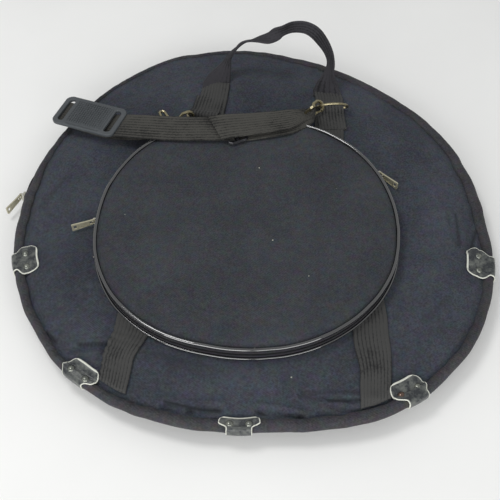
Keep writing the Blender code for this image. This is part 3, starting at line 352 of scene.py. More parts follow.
def webbing_grid(rows: int, lanes: int, length: float, width: float) -> bmesh.types.BMesh:
    """Start webbing as a flat grid with its length and width in its UV map.

    Args:
        rows: the number of faces along it.
        lanes: the number of faces across it.
        length: its length in metres.
        width: its width in metres.

    Returns:
        The grid, from -1 to 1 both ways.
    """
    bm = bmesh.new()
    layer = bm.loops.layers.uv.verify()
    bmesh.ops.create_grid(bm, x_segments=rows, y_segments=lanes, size=1.0, calc_uvs=True)
    for face in bm.faces:
        for loop in face.loops:
            co = loop.vert.co
            loop[layer].uv = ((co.x + 1) / 2 * length, co.y / 2 * width)
    return bm


def rib_wave(ribs: int, across: float) -> float:
    """Return how high webbing's ribs stand, from 0 to 1, between its edges at -1 and 1."""
    return abs(math.sin(math.pi * ribs * (across + 1) / 2)) ** RIB_POWER


@dataclass
class Ribbon:
    """A length of ribbed webbing that follows stations of centre and full-width vector."""

    name: str
    material: bpy.types.Material
    centres: list[Vector]
    acrosses: list[Vector]
    width: float = 0.038
    thickness: float = 0.0016
    ribs: int = 9
    rib_height: float = 0.00035
    step: float = 0.004
    edge_roll: float = 0.0004

    def build(self) -> bpy.types.Object:
        """Make the webbing's closed mesh."""
        length = run_length(self.centres)
        count = max(4, round(length / self.step))
        centres, widths = paired(self.centres, self.acrosses, count + 1)
        bm = webbing_grid(count, self.ribs * 4, length, self.width)
        for vert in bm.verts:
            index = min(count, round((vert.co.x + 1) / 2 * count))
            ahead = centres[min(index + 1, count)] - centres[max(index - 1, 0)]
            up = ahead.cross(widths[index]).normalized()
            share = vert.co.y
            lift = self.rib_height * (rib_wave(self.ribs, share) - 1.0)
            lift -= self.edge_roll * abs(share) ** 14
            vert.co = centres[index] + widths[index] * (share / 2) + up * lift
        return thickened(to_object(bm, self.name, self.material), self.thickness)


# ---------------------------------------------------------------- materials


def add_node(tree: bpy.types.NodeTree, kind: str, settings: dict | None = None,
             links: dict | None = None) -> bpy.types.Node:
    """Add a node with its settings and links.

    Args:
        tree: the material's node tree.
        kind: the node's type.
        settings: values of its inputs, by name or number, or of its properties.
        links: sockets that feed its inputs, by name or number.

    Returns:
        The new node.
    """
    node = tree.nodes.new(kind)
    for key, value in (settings or {}).items():
        if isinstance(key, int) or key in node.inputs:
            node.inputs[key].default_value = value
        else:
            setattr(node, key, value)
    for key, socket in (links or {}).items():
        tree.links.new(socket, node.inputs[key])
    return node


def new_material(name: str, inputs: dict[str, float]
                 ) -> tuple[bpy.types.Material, bpy.types.NodeTree, bpy.types.Node]:
    """Start a material.

    Args:
        name: the finish's name.
        inputs: values of its shader's inputs, by name.

    Returns:
        The material, its node tree and its Principled shader.
    """
    material = bpy.data.materials.new(name)
    material.use_nodes = True
    tree = material.node_tree
    shader = tree.nodes["Principled BSDF"]
    for key, value in inputs.items():
        shader.inputs[key].default_value = value
    return material, tree, shader


def maths(tree: bpy.types.NodeTree, operation: str, *values) -> bpy.types.NodeSocket:
    """Add a maths node.

    Args:
        tree: the material's node tree.
        operation: what it does.
        values: its inputs, each a number or a socket.

    Returns:
        The socket with the result.
    """
    node = add_node(tree, "ShaderNodeMath", {"operation": operation})
    for index, value in enumerate(values):
        if isinstance(value, bpy.types.NodeSocket):
            tree.links.new(value, node.inputs[index])
        else:
            node.inputs[index].default_value = value
    return node.outputs[0]


def clouds(tree: bpy.types.NodeTree, coord: bpy.types.NodeSocket, scale: float, detail: float,
           roughness: float = 0.5) -> bpy.types.NodeSocket:
    """Add a noise texture.

    Args:
        tree: the material's node tree.
        coord: the coordinates that it reads, in metres.
        scale: its features in a metre.
        detail: its octaves.
        roughness: how strong the finer ones are.

    Returns:
        The socket with its value.
    """
    node = add_node(tree, "ShaderNodeTexNoise",
                    {"Scale": scale, "Detail": detail, "Roughness": roughness}, {"Vector": coord})
    return node.outputs[0]


def bumped(tree: bpy.types.NodeTree, shader: bpy.types.Node, height: bpy.types.NodeSocket,
           strength: float, distance: float) -> None:
    """Raise a shader's surface.

    Args:
        tree: the material's node tree.
        shader: the Principled shader.
        height: the socket with the height.
        strength: how much of it shows, from 0 to 1.
        distance: how high a height of 1 stands, in metres.
    """
    bump = add_node(tree, "ShaderNodeBump", {"Strength": strength, "Distance": distance},
                    {"Height": height})
    tree.links.new(bump.outputs[0], shader.inputs["Normal"])


def ramp(tree: bpy.types.NodeTree, factor: bpy.types.NodeSocket, low: float, high: float,
         dark: str, light: str) -> bpy.types.Node:
    """Add a colour ramp between two hex colours.

    Args:
        tree: the material's node tree.
        factor: the socket that drives it.
        low: the factor of the first colour.
        high: the factor of the second colour.
        dark: the first colour.
        light: the second colour.

    Returns:
        The ramp node.
    """
    node = add_node(tree, "ShaderNodeValToRGB", links={0: factor})
    node.color_ramp.elements[0].position = low
    node.color_ramp.elements[0].color = hex_colour(dark)
    node.color_ramp.elements[1].position = high
    node.color_ramp.elements[1].color = hex_colour(light)
    return node


@dataclass(frozen=True)
class WovenPolyester:
    """Woven polyester twill, dull and a little dusty, with pale specks of lint and painted shade
    along the cover's creases.
    """

    name: str = "woven_polyester"
    thread: str = "#2c2f36"
    raised: str = "#494d56"
    rib_mm: float = 2.4  # the twill's ribs are about 0.5 mm apart; drawn as coarse as shows
    roughness: float = 0.9
    lint_share: float = 0.020

    def make(self) -> bpy.types.Material:
        """Return the cloth's material."""
        material, tree, shader = new_material(self.name, {
            "Roughness": self.roughness, "Specular IOR Level": 0.15, "Sheen Weight": 0.05,
            "Sheen Roughness": 0.6})
        coord = add_node(tree, "ShaderNodeTexCoord").outputs["Object"]
        split = add_node(tree, "ShaderNodeSeparateXYZ", links={0: coord}).outputs
        slanted = maths(tree, "MULTIPLY_ADD", split["X"], 0.62, split["Y"])
        upright = maths(tree, "ADD", slanted, split["Z"])
        bent = maths(tree, "MULTIPLY_ADD", clouds(tree, coord, 60.0, 2.0), 0.0022, upright)
        phase = maths(tree, "MULTIPLY", bent, math.tau / (self.rib_mm * MM))
        ribs = maths(tree, "SINE", phase)
        slub = clouds(tree, coord, 460.0, 3.0, 0.7)
        grain = maths(tree, "MULTIPLY_ADD", ribs, 0.055, slub)
        mix = maths(tree, "MULTIPLY_ADD", clouds(tree, coord, 14.0, 5.0, 0.6), 0.55, grain)
        tone = ramp(tree, mix, 0.58, 1.02, self.thread, self.raised)
        hues = add_node(tree, "ShaderNodeTexNoise", {"Scale": 120.0, "Detail": 2.0},
                        {"Vector": coord})
        tint = add_node(tree, "ShaderNodeMix",
                        {"data_type": "RGBA", "blend_type": "SOFT_LIGHT", 0: 0.35},
                        {6: tone.outputs[0], 7: hues.outputs[1]})
        cells = add_node(tree, "ShaderNodeTexVoronoi", {"Scale": 24.0, "Randomness": 1.0},
                         {"Vector": coord})
        lint = maths(tree, "LESS_THAN", cells.outputs["Distance"], self.lint_share)
        specks = add_node(tree, "ShaderNodeMix", {"data_type": "RGBA", 7: hex_colour("#b3b0a4")},
                          {0: lint, 6: tint.outputs[2]})
        # painted shade: a point attribute set on the cover darkens the cloth towards near-black
        # along its creases
        fold_and_painted_shade = add_node(tree, "ShaderNodeAttribute", {"attribute_name": "fold_and_painted_shade"})
        painted_crease_shade = add_node(tree, "ShaderNodeMix", {"data_type": "RGBA", 7: hex_colour("#17181b")},
                         {0: fold_and_painted_shade.outputs["Fac"], 6: specks.outputs[2]})
        tree.links.new(painted_crease_shade.outputs[2], shader.inputs["Base Color"])
        bumped(tree, shader, maths(tree, "MULTIPLY_ADD", ribs, 0.22, slub), 0.45, 0.0007)
        return material


@dataclass(frozen=True)
class NylonWebbing:
    """Woven nylon webbing: ribbed lengthwise, a brownish black that has faded a little, with
    painted shade in the grooves between its ribs.
    """

    name: str = "nylon_webbing"
    # thread is the colour of the grooves between the ribs, darkened as painted shade; raised is
    # the crests' colour
    thread: str = "#212122"
    raised: str = "#444443"
    rib_mm: float = 4.22
    pick_mm: float = 1.5  # drawn coarser than the real 0.5 mm picks so that they show
    roughness: float = 0.8

    def make(self) -> bpy.types.Material:
        """Return the webbing's material; its pattern follows the UV map in metres."""
        material, tree, shader = new_material(self.name, {
            "Roughness": self.roughness, "Specular IOR Level": 0.2, "Sheen Weight": 0.05})
        coords = add_node(tree, "ShaderNodeTexCoord").outputs
        pick = add_node(tree, "ShaderNodeSeparateXYZ", links={0: coords["UV"]}).outputs
        phase = maths(tree, "MULTIPLY_ADD", pick["Y"], math.pi / (self.rib_mm * MM), math.pi / 2)
        # painted shade: the rib crests are coloured lighter and the grooves between them darker
        painted_rib_shade_mask = maths(tree, "ABSOLUTE", maths(tree, "SINE", phase))
        pitch = math.tau / (self.pick_mm * MM)
        along = maths(tree, "MULTIPLY", pick["X"], pitch)
        slant = maths(tree, "MULTIPLY_ADD", pick["Y"], pitch * 0.8, along)
        fuzz = clouds(tree, coords["Object"], 520.0, 2.0)
        fade = clouds(tree, coords["Object"], 26.0, 4.0)
        mix = maths(tree, "MULTIPLY_ADD", fuzz, 0.6, fade)
        tone_and_painted_rib_shade = maths(tree, "MULTIPLY_ADD", painted_rib_shade_mask, 0.30, mix)
        tone = ramp(tree, tone_and_painted_rib_shade, 0.72, 1.22, self.thread, self.raised)
        tree.links.new(tone.outputs[0], shader.inputs["Base Color"])
        twill = maths(tree, "SINE", slant)
        bumped(tree, shader, maths(tree, "MULTIPLY_ADD", twill, 0.35, fuzz), 0.45, 0.0005)
        return material


@dataclass(frozen=True)
class Grained:
    """A moulded or coated surface with a fine grain and scuffs."""

    name: str
    base: str
    worn: str
    roughness: float
    grain_mm: float
    grain_depth: float = 0.0002
    metallic: float = 0.0
    specular: float = 0.5
    coat: float = 0.0
    coat_ior: float = 1.5
    worn_low: float = 0.55
    worn_high: float = 0.80

    def make(self) -> bpy.types.Material:
        """Return the surface's material."""
        material, tree, shader = new_material(self.name, {
            "Metallic": self.metallic, "Specular IOR Level": self.specular,
            "Coat Weight": self.coat, "Coat IOR": self.coat_ior})
        coord = add_node(tree, "ShaderNodeTexCoord").outputs["Object"]
        grain = add_node(tree, "ShaderNodeTexVoronoi", {"Scale": 1.0 / (self.grain_mm * MM)},
                         {"Vector": coord})
        scuff = clouds(tree, coord, 110.0, 5.0, 0.7)
        tone = ramp(tree, scuff, self.worn_low, self.worn_high, self.base, self.worn)
        tree.links.new(tone.outputs[0], shader.inputs["Base Color"])
        rough = add_node(tree, "ShaderNodeMapRange",
                         {"From Min": 0.35, "From Max": 0.75, "To Min": self.roughness * 0.8,
                          "To Max": min(1.0, self.roughness * 1.35)}, {"Value": scuff})
        tree.links.new(rough.outputs[0], shader.inputs["Roughness"])
        bumped(tree, shader, grain.outputs["Distance"], 0.35, self.grain_depth)
        return material


@dataclass
class Finishes:
    """Every finish of the bag, made once."""

    def __post_init__(self) -> None:
        """Make the materials."""
        # the cover: blue-black twill, matt, with a faint slant and pale lint
        self.cloth = WovenPolyester().make()
        # the pocket: the same cloth, a little greyer
        self.pocket_cloth = WovenPolyester("pocket_polyester", "#2d2f34", "#42454a").make()
        # the bands: ribbed, neutral and paler than the cloth's shadows
        self.webbing = NylonWebbing().make()
        # the strap: browner, with painted shade in the grooves between its ribs
        self.strap = NylonWebbing("strap_webbing", "#1f1f1e", "#474642").make()
        # the handle: the same webbing in darker tones throughout
        self.handle = NylonWebbing("handle_webbing", "#1a1a1c", "#37363a").make()
        # the rim's strip: a warmer black than the cover
        self.binding = WovenPolyester("rim_binding", "#2c2c2f", "#48474b", 3.0, 0.85, 0.0).make()
        # the zip's tape: nearly black, hidden in the side
        self.zip_cloth = WovenPolyester("zip_tape_polyester", "#1f1e22", "#333237", 1.6, 0.85,
                                        0.0).make()
        # the piping: wet-looking black that draws one bright line round the pocket
        self.piping = Grained("vinyl_piping", "#0c0c0e", "#19191b", 0.14, 2.0, 0.000004,
                              coat=1.0, coat_ior=2.1).make()
        # the guards: greenish grey with soft shine, rubbed paler in clouds
        self.vinyl = Grained("coated_vinyl", "#2e3134", "#747771", 0.30, 1.1, 0.0003,
                             worn_low=0.44, worn_high=0.74).make()
        # the guards' cut edge: the pale backing shows as a thin line
        self.cut_edge = Grained("trimmed_vinyl_edge", "#d3d4c9", "#adada1", 0.6, 1.0).make()
        # the rivets: dark caps with a bright spot each, one of them worn to the copper
        self.rivet = Grained("blackened_rivet", "#6f726c", "#a3a599", 0.24, 1.0, 0.00005, 0.75,
                             worn_low=0.45, worn_high=0.75).make()
        self.copper_rivet = Grained("bared_copper_rivet", "#6a5950", "#94796b", 0.25, 1.0, 0.00005,
                                    0.9, worn_low=0.45, worn_high=0.75).make()
        # the zips: yellowed pull plates and bright sliders on black coils
        self.pull = Grained("dulled_pull_plate", "#b9b49c", "#8f8a72", 0.30, 0.8, 0.00004,
                            0.5).make()
        self.nickel = Grained("nickel_plate", "#d6d3c6", "#a8a28d", 0.27, 0.8, 0.00004, 1.0).make()
        self.teeth = Grained("nylon_coil", "#101012", "#242427", 0.42, 1.0).make()
        # the rings and hooks: dull brass, browner in its scuffs
        self.antique = Grained("antique_brass_plate", "#9b9377", "#6b634a", 0.33, 0.8, 0.00006,
                               1.0).make()
        # the strap's slide: black paint, rubbed grey
        self.black_metal = Grained("painted_steel", "#26262a", "#4c4c50", 0.35, 0.8, 0.00005,
                                   0.3).make()
        # the pad: blue-grey rubbery plastic, nearly matt
        self.moulded = Grained("moulded_pad", "#464a4d", "#5a5d61", 0.55, 0.9, 0.0002).make()


# ---------------------------------------------------------------- shell


def bend_with_cover(piece: bpy.types.Object) -> None:
    """Bake a piece's placement into its mesh."""
    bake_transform(piece)


def tooth_row(bm: bmesh.types.BMesh, radius: float, height: float, size: tuple,
              angles: list[float], bevel: float = 0.0) -> None:
    """Set a zip's coil teeth round an arc.

    Args:
        bm: where they are added.
        radius: of their middles, in metres.
        height: of their middles, in metres.
        size: one tooth's depth, width and height in metres.
        angles: each tooth's azimuth in radians.
        bevel: how far its edges are cut back, in metres.
    """
    for angle in angles:
        place = Matrix.Rotation(angle, 4, "Z") @ Matrix.Translation((radius, 0, height))
        tooth = bmesh.ops.create_cube(bm, size=1.0, matrix=place @ Matrix.Diagonal((*size, 1.0)))
        if bevel:
            edges = list({edge for vert in tooth["verts"] for edge in vert.link_edges})
            bmesh.ops.bevel(bm, geom=edges, offset=bevel, affect="EDGES", segments=1,
                            profile=0.5, material=-1)


@dataclass(frozen=True)
class Crease:
    """A fold pressed into the cover between two spots, in millimetres."""

    start: tuple[float, float]
    end: tuple[float, float]
    depth: float = 2.2
    width: float = 5.0

    def sink(self, x: float, y: float) -> float:
        """Return how far the crease lowers the face at a spot.

        Args:
            x: the spot's place in metres.
            y: the spot's place in metres.

        Returns:
            The drop in metres, below zero on the swell beside the crease.
        """
        spot = Vector((x, y)) / MM
        first = Vector(self.start)
        run = Vector(self.end) - first
        share = max(0.0, min(1.0, (spot - first).dot(run) / run.length_squared))
        away = (spot - first - run * share).length / self.width
        if away > 4.0:
            return 0.0
        fold_and_painted_shade = math.exp(-away * away) - 0.4 * math.exp(-(away - 1.9) ** 2)
        return self.depth * MM * fold_and_painted_shade

    def painted_crease_shade(self, x: float, y: float) -> float:
        """Return how much painted shade darkens the bottom of the crease at a spot, from 0 to 1.
        """
        line = max(0.0, self.sink(x, y) / (self.depth * MM)) ** 2
        return line * min(1.0, self.depth / 3.0)


@dataclass
class Swell:
    """A cloth simulation that puffs a padded face up between its seams."""

    radius: float
    cell: float = 0.006
    frames: int = 20
    pressure: float = 1.4
    spare_cloth: float = 0.012
    cap: float = 0.0028
    share: float = 1.0

    def run(self, held: Callable[[Vector], bool]) -> BVHTree:
        """Blow a round sheet up and keep its shape.

        Args:
            held: tells for a point whether the sheet is sewn down there.

        Returns:
            The swollen sheet's faces, to read heights from.
        """
        bm = bmesh.new()
        cells = round(2 * self.radius / self.cell)
        bmesh.ops.create_grid(bm, x_segments=cells, y_segments=cells, size=self.radius)
        outside = [vert for vert in bm.verts if vert.co.length > self.radius]
        bmesh.ops.delete(bm, geom=outside, context="VERTS")
        for vert in bm.verts:
            vert.co.z = noise.noise(vert.co * 30.0) * 0.4 * MM
        sheet = to_object(bm, "swelling_sheet")
        group = sheet.vertex_groups.new(name="sewn")
        group.add([vert.index for vert in sheet.data.vertices if held(vert.co)], 1.0, "ADD")
        cloth = sheet.modifiers.new("Cloth", "CLOTH")
        for key, value in (("quality", 5), ("mass", 0.25), ("tension_stiffness", 14.0),
                           ("compression_stiffness", 10.0), ("shear_stiffness", 5.0),
                           ("bending_stiffness", 0.6), ("use_pressure", True),
                           ("uniform_pressure_force", self.pressure),
                           ("vertex_group_mass", "sewn"), ("shrink_min", -self.spare_cloth)):
            setattr(cloth.settings, key, value)
        cloth.settings.effector_weights.gravity = 0.0
        cloth.point_cache.frame_start = 1
        cloth.point_cache.frame_end = self.frames
        scene = bpy.context.scene
        for step in range(1, self.frames + 1):
            scene.frame_set(step)
        depsgraph = bpy.context.evaluated_depsgraph_get()
        tree = BVHTree.FromObject(sheet, depsgraph)
        heights = [vert.co.z for vert in sheet.evaluated_get(depsgraph).data.vertices]
        # the sheet blows up freely; its wrinkles are kept and its height brought to the cap
        self.share = min(1.0, self.cap / max(heights))
        LOG.info("cloth swells %.1f mm, kept %.2f of it", max(heights) / MM, self.share)
        bpy.data.objects.remove(sheet, do_unlink=True)
        scene.frame_set(1)
        return tree

    def height(self, tree: BVHTree | None, x: float, y: float) -> float:
        """Return the swollen height over a spot, within the cap."""
        if tree is None:
            return 0.0
        spot = tree.ray_cast(Vector((x, y, 1.0)), Vector((0, 0, -1)))[0]
        return 0.0 if spot is None else spot.z * self.share


@dataclass
class Shell:
    """The padded back, side and front cover, with their bound rims."""

    finishes: Finishes
    radius: float = RIM_RADIUS
    panel_radius: float = PANEL_RADIUS
    back_radius: float = 0.289
    side_inset: float = 0.0115
    rim_steps: int = 560
    rings: int = 110
    face_z: float = 0.033
    crown_z: float = 0.0331
    droop: float = 0.0021
    seam_dip: float = 0.0036
    creases: tuple = (
        Crease((-216, -194), (-203, -206), 3.4, 3.4), Crease((-176, -209), (-144, -206), 3.2, 3.4),
        Crease((-144, -206), (-149, -219), 2.4, 3.0), Crease((-72, -272), (-44, -276), 3.2, 3.4),
        Crease((-44, -276), (-14, -276), 3.6, 3.4), Crease((27, -275), (72, -276), 3.8, 3.4),
        Crease((72, -249), (118, -247), 1.6, 3.8), Crease((118, -247), (176, -243), 1.4, 3.6),
        Crease((100, -257), (150, -253), 2.8, 3.2), Crease((150, -253), (192, -240), 2.4, 3.2),
        Crease((278, -8), (264, -50), 2.6, 3.2), Crease((251, 6), (253, -40), 2.0, 3.4),
        Crease((-239, 30), (-262, -18), 1.0, 7.0), Crease((205, -150), (236, -120), 0.9, 8.0),
        Crease((-100, -214), (-60, -222), 1.1, 5.0), Crease((72, -278), (75, -290), 2.0, 3.0),
        Crease((-96, -276), (-92, -290), 2.2, 3.0))
    face: BVHTree | None = None

    def cover_height(self, x: float, y: float) -> float:
        """Return the height of the front cover's face above a spot before it settles."""
        radius = math.hypot(x, y)
        height = self.crown_z - self.droop * ease(radius, 0.235, 0.278)
        height -= self.seam_dip * ease(radius, 0.2765, 0.2842)
        free = ease(math.hypot(x, y - POCKET_Y), 0.181, 0.212)
        spot = Vector((x, y, 0.0))
        height += free * noise.noise(spot * 9.0) * 1.7 * MM
        height += free * noise.noise(spot * 24.0 + Vector((5.0, 1.0, 0.0))) * 0.9 * MM
        for crease in self.creases:
            height -= free * crease.sink(x, y)
        return height

    def sewn(self, co: Vector) -> bool:
        """Tell whether the cover is sewn down at a point."""
        rim = co.length > self.panel_radius - 0.008
        under_pocket = math.hypot(co.x, co.y - POCKET_Y) < POCKET_RADIUS + 0.003
        return rim or under_pocket

    def top(self, x: float, y: float) -> float:
        """Return the finished cover's height over a spot."""
        spot = self.face.ray_cast(Vector((x, y, 0.2)), Vector((0, 0, -1)))[0]
        return 0.030 if spot is None else spot.z

    def cover(self) -> None:
        """Make the padded front cover in one piece across its fold."""
        swell = Swell(self.panel_radius)
        tree = swell.run(self.sewn)
        profile = [(0.0, self.face_z)]
        for index in range(1, self.rings + 1):
            profile.append((self.panel_radius * (index / self.rings) ** 0.70, self.face_z))
        profile += [(self.panel_radius, 0.0255), (self.panel_radius - 0.006, 0.0245)]
        profile += [(0.20, 0.0243), (0.1, 0.0243), (0.0, 0.0243)]
        bm = lathe(profile, self.rim_steps)

        def place(co: Vector) -> Vector:
            """Lay a vertex on the soft face, or on the underside."""
            if co.z > 0.030:
                height = self.cover_height(co.x, co.y) + swell.height(tree, co.x, co.y)
                co = Vector((co.x, co.y, height))
            return settled(co)

        bm = moved(bm, place)
        cover = to_object(bm, "front_cover", self.finishes.cloth)
        # painted shade: points along the creases store how far their cloth colour is darkened
        painted_shade_layer = cover.data.attributes.new("fold_and_painted_shade", "FLOAT", "POINT")
        for vert in cover.data.vertices:
            x, y = vert.co.x, vert.co.y
            if vert.co.z > 0.0262 and math.hypot(x, y - POCKET_Y) > 0.186:
                darkest_painted_shade = max(crease.painted_crease_shade(x, y) for crease in self.creases)
                painted_shade_layer.data[vert.index].value = 0.85 * darkest_painted_shade
        bpy.context.view_layer.update()
        self.face = BVHTree.FromObject(cover, bpy.context.evaluated_depsgraph_get())
        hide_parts("front_panel", "front_flap")
        bend_with_cover(cover)

    def front_rim(self) -> None:
        """Make the strip that binds the front cover's rim."""
        section = [(-15.4, 26.0), (-15.6, 28.2), (-15.0, 29.9), (-13.4, 31.2), (-11.0, 31.9),
                   (-8.4, 32.1), (-5.8, 31.8), (-3.6, 31.0), (-1.8, 29.7), (-0.5, 27.9),
                   (0.0, 25.8), (-0.3, 23.9), (-1.3, 22.8), (-3.0, 22.7), (-9.0, 23.6)]
        bm = lathe(off_radius(self.radius, section), self.rim_steps * 2)

        def place(co: Vector) -> Vector:
            """Pinch the strip along its length, as its stitches do."""
            angle = math.atan2(co.y, co.x)
            around = heading(angle)
            pinch = noise.noise(around * 34.0) * 0.7 + noise.noise(around * 90.0) * 0.35
            inner = ease(self.radius - 0.009 - math.hypot(co.x, co.y), 0.0, 0.006)
            shift = noise.noise(around * 22.0 + Vector((0, 0, 4.0))) * 1.2 * MM * inner
            spot = co - around * shift
            return settled(Vector((spot.x, spot.y, co.z + pinch * MM * ease(co.z, 0.024, 0.03))))

        rim = to_object(moved(bm, place), "front_rim_strip", self.finishes.binding)
        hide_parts("front_binding", "flap_binding")
        bend_with_cover(rim)

    def back(self) -> None:
        """Make the padded back panel and the strip round it."""
        edge = self.back_radius - 0.0148
        profile = [(0.0, 0.0058)]
        for index in range(1, 24):
            share = index / 23.0
            profile.append((edge * share, 0.0058 - 0.0014 * share ** 8))
        profile += [(edge, 0.0006), (edge - 0.004, 0.0001), (0.14, 0.0001), (0.0, 0.0001)]
        panel = to_object(lathe(profile, 192), "back_cover", self.finishes.cloth)
        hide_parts("back_panel")
        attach(panel, "bag")
        section = [(-14.3, 5.2), (-12.6, 7.6), (-9.5, 8.5), (-4.5, 8.4), (-1.6, 7.2), (-0.3, 5.2),
                   (0.0, 3.2), (-0.7, 1.1), (-2.4, 0.1), (-12.5, 0.1), (-14.2, 1.4)]
        strip = lathe(off_radius(self.back_radius, section), self.rim_steps)
        rim = to_object(moved(strip, lambda co: settled(co, 0.5)), "back_rim_strip",
                        self.finishes.binding)
        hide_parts("back_binding")
        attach(rim, "bag")

    def side(self) -> None:
        """Make the plain side band round the lower half."""
        section = [(-1.9, 8.6), (-0.2, 8.6), (0.4, 12.0), (0.6, 16.0), (0.6, 20.0), (0.0, 23.4),
                   (-1.9, 23.4)]
        bm = lathe(off_radius(self.radius - self.side_inset, section), 180, math.pi, math.pi)

        def place(co: Vector) -> Vector:
            """Let the side follow the soft rim away from the zip's ends."""
            return settled(co, 0.5 + 0.5 * ease(-co.y, 0.0, 0.09) * ease(co.z, 0.008, 0.022))

        band = to_object(moved(bm, place), "side_band", self.finishes.cloth)
        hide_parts("lower_gusset")
        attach(band, "bag")

    def build(self) -> None:
        """Make the whole shell."""
        self.cover()
        self.front_rim()
        self.back()
        self.side()


@dataclass
class MainZip:
    """The zip round the upper half of the side: two woven tapes with coil teeth."""

    finishes: Finishes
    radius: float = 0.2885
    middle: float = 0.0156
    slider_deg: float = 178.0
    tape_thickness: float = 0.0019
    row_offset: float = 0.00115
    tooth: tuple[float, float, float] = (0.0020, 0.0014, 0.0022)
    tooth_bevel: float = 0.0004
    end_gap: float = 0.006  # in radians, at each end of the coils

    def laid(self, co: Vector) -> Vector:
        """Let the zip follow half of the soft rim's drift, but not under its slider."""
        angle = math.degrees(math.atan2(co.y, co.x)) % 360.0
        free = ease(abs(angle - self.slider_deg), 3.0, 14.0) * ease(angle + 2.0, 0.0, 10.0)
        flat = settled(co, 0.5 * free)
        return Vector((flat.x, flat.y, co.z))

    def tape(self, name: str, low: float, high: float) -> bpy.types.Object:
        """Make one woven tape between two heights."""
        r = self.radius
        inner = r - self.tape_thickness
        section = [(inner, low), (r, low), (r + 0.0002, (low + high) / 2), (r, high),
                   (inner, high)]
        bm = lathe(section, 200, 0.002, math.pi - 0.004)
        return to_object(moved(bm, self.laid), name, self.finishes.zip_cloth)

    def coil(self, name: str, height: float, shift: float) -> bpy.types.Object:
        """Make one row of coil teeth."""
        bm = bmesh.new()
        count = int(math.pi * self.radius / TOOTH_PITCH) - 4
        angles = [self.end_gap + (math.pi - 2 * self.end_gap) * (index + shift) / count
                  for index in range(count)]
        tooth_row(bm, self.radius + 0.0007, height, self.tooth, angles, self.tooth_bevel)
        coil = to_object(moved(bm, self.laid), name, self.finishes.teeth)
        return coil

    def build(self) -> None:
        """Make both tapes and both rows of teeth."""
        lower = self.tape("zip_tape_lower", 0.0086, 0.0138)
        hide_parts("main_zip_lower_tape")
        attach(lower, "bag")
        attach(self.coil("zip_coil_lower", self.middle - self.row_offset, 0.0), "bag")
        upper = self.tape("zip_tape_upper", 0.0174, 0.0226)
        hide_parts("main_zip_left_tape", "main_zip_right_tape", "main_zip_flap_tape")
        coil = self.coil("zip_coil_upper", self.middle + self.row_offset, 0.5)
        bend_with_cover(upper)
        bend_with_cover(coil)


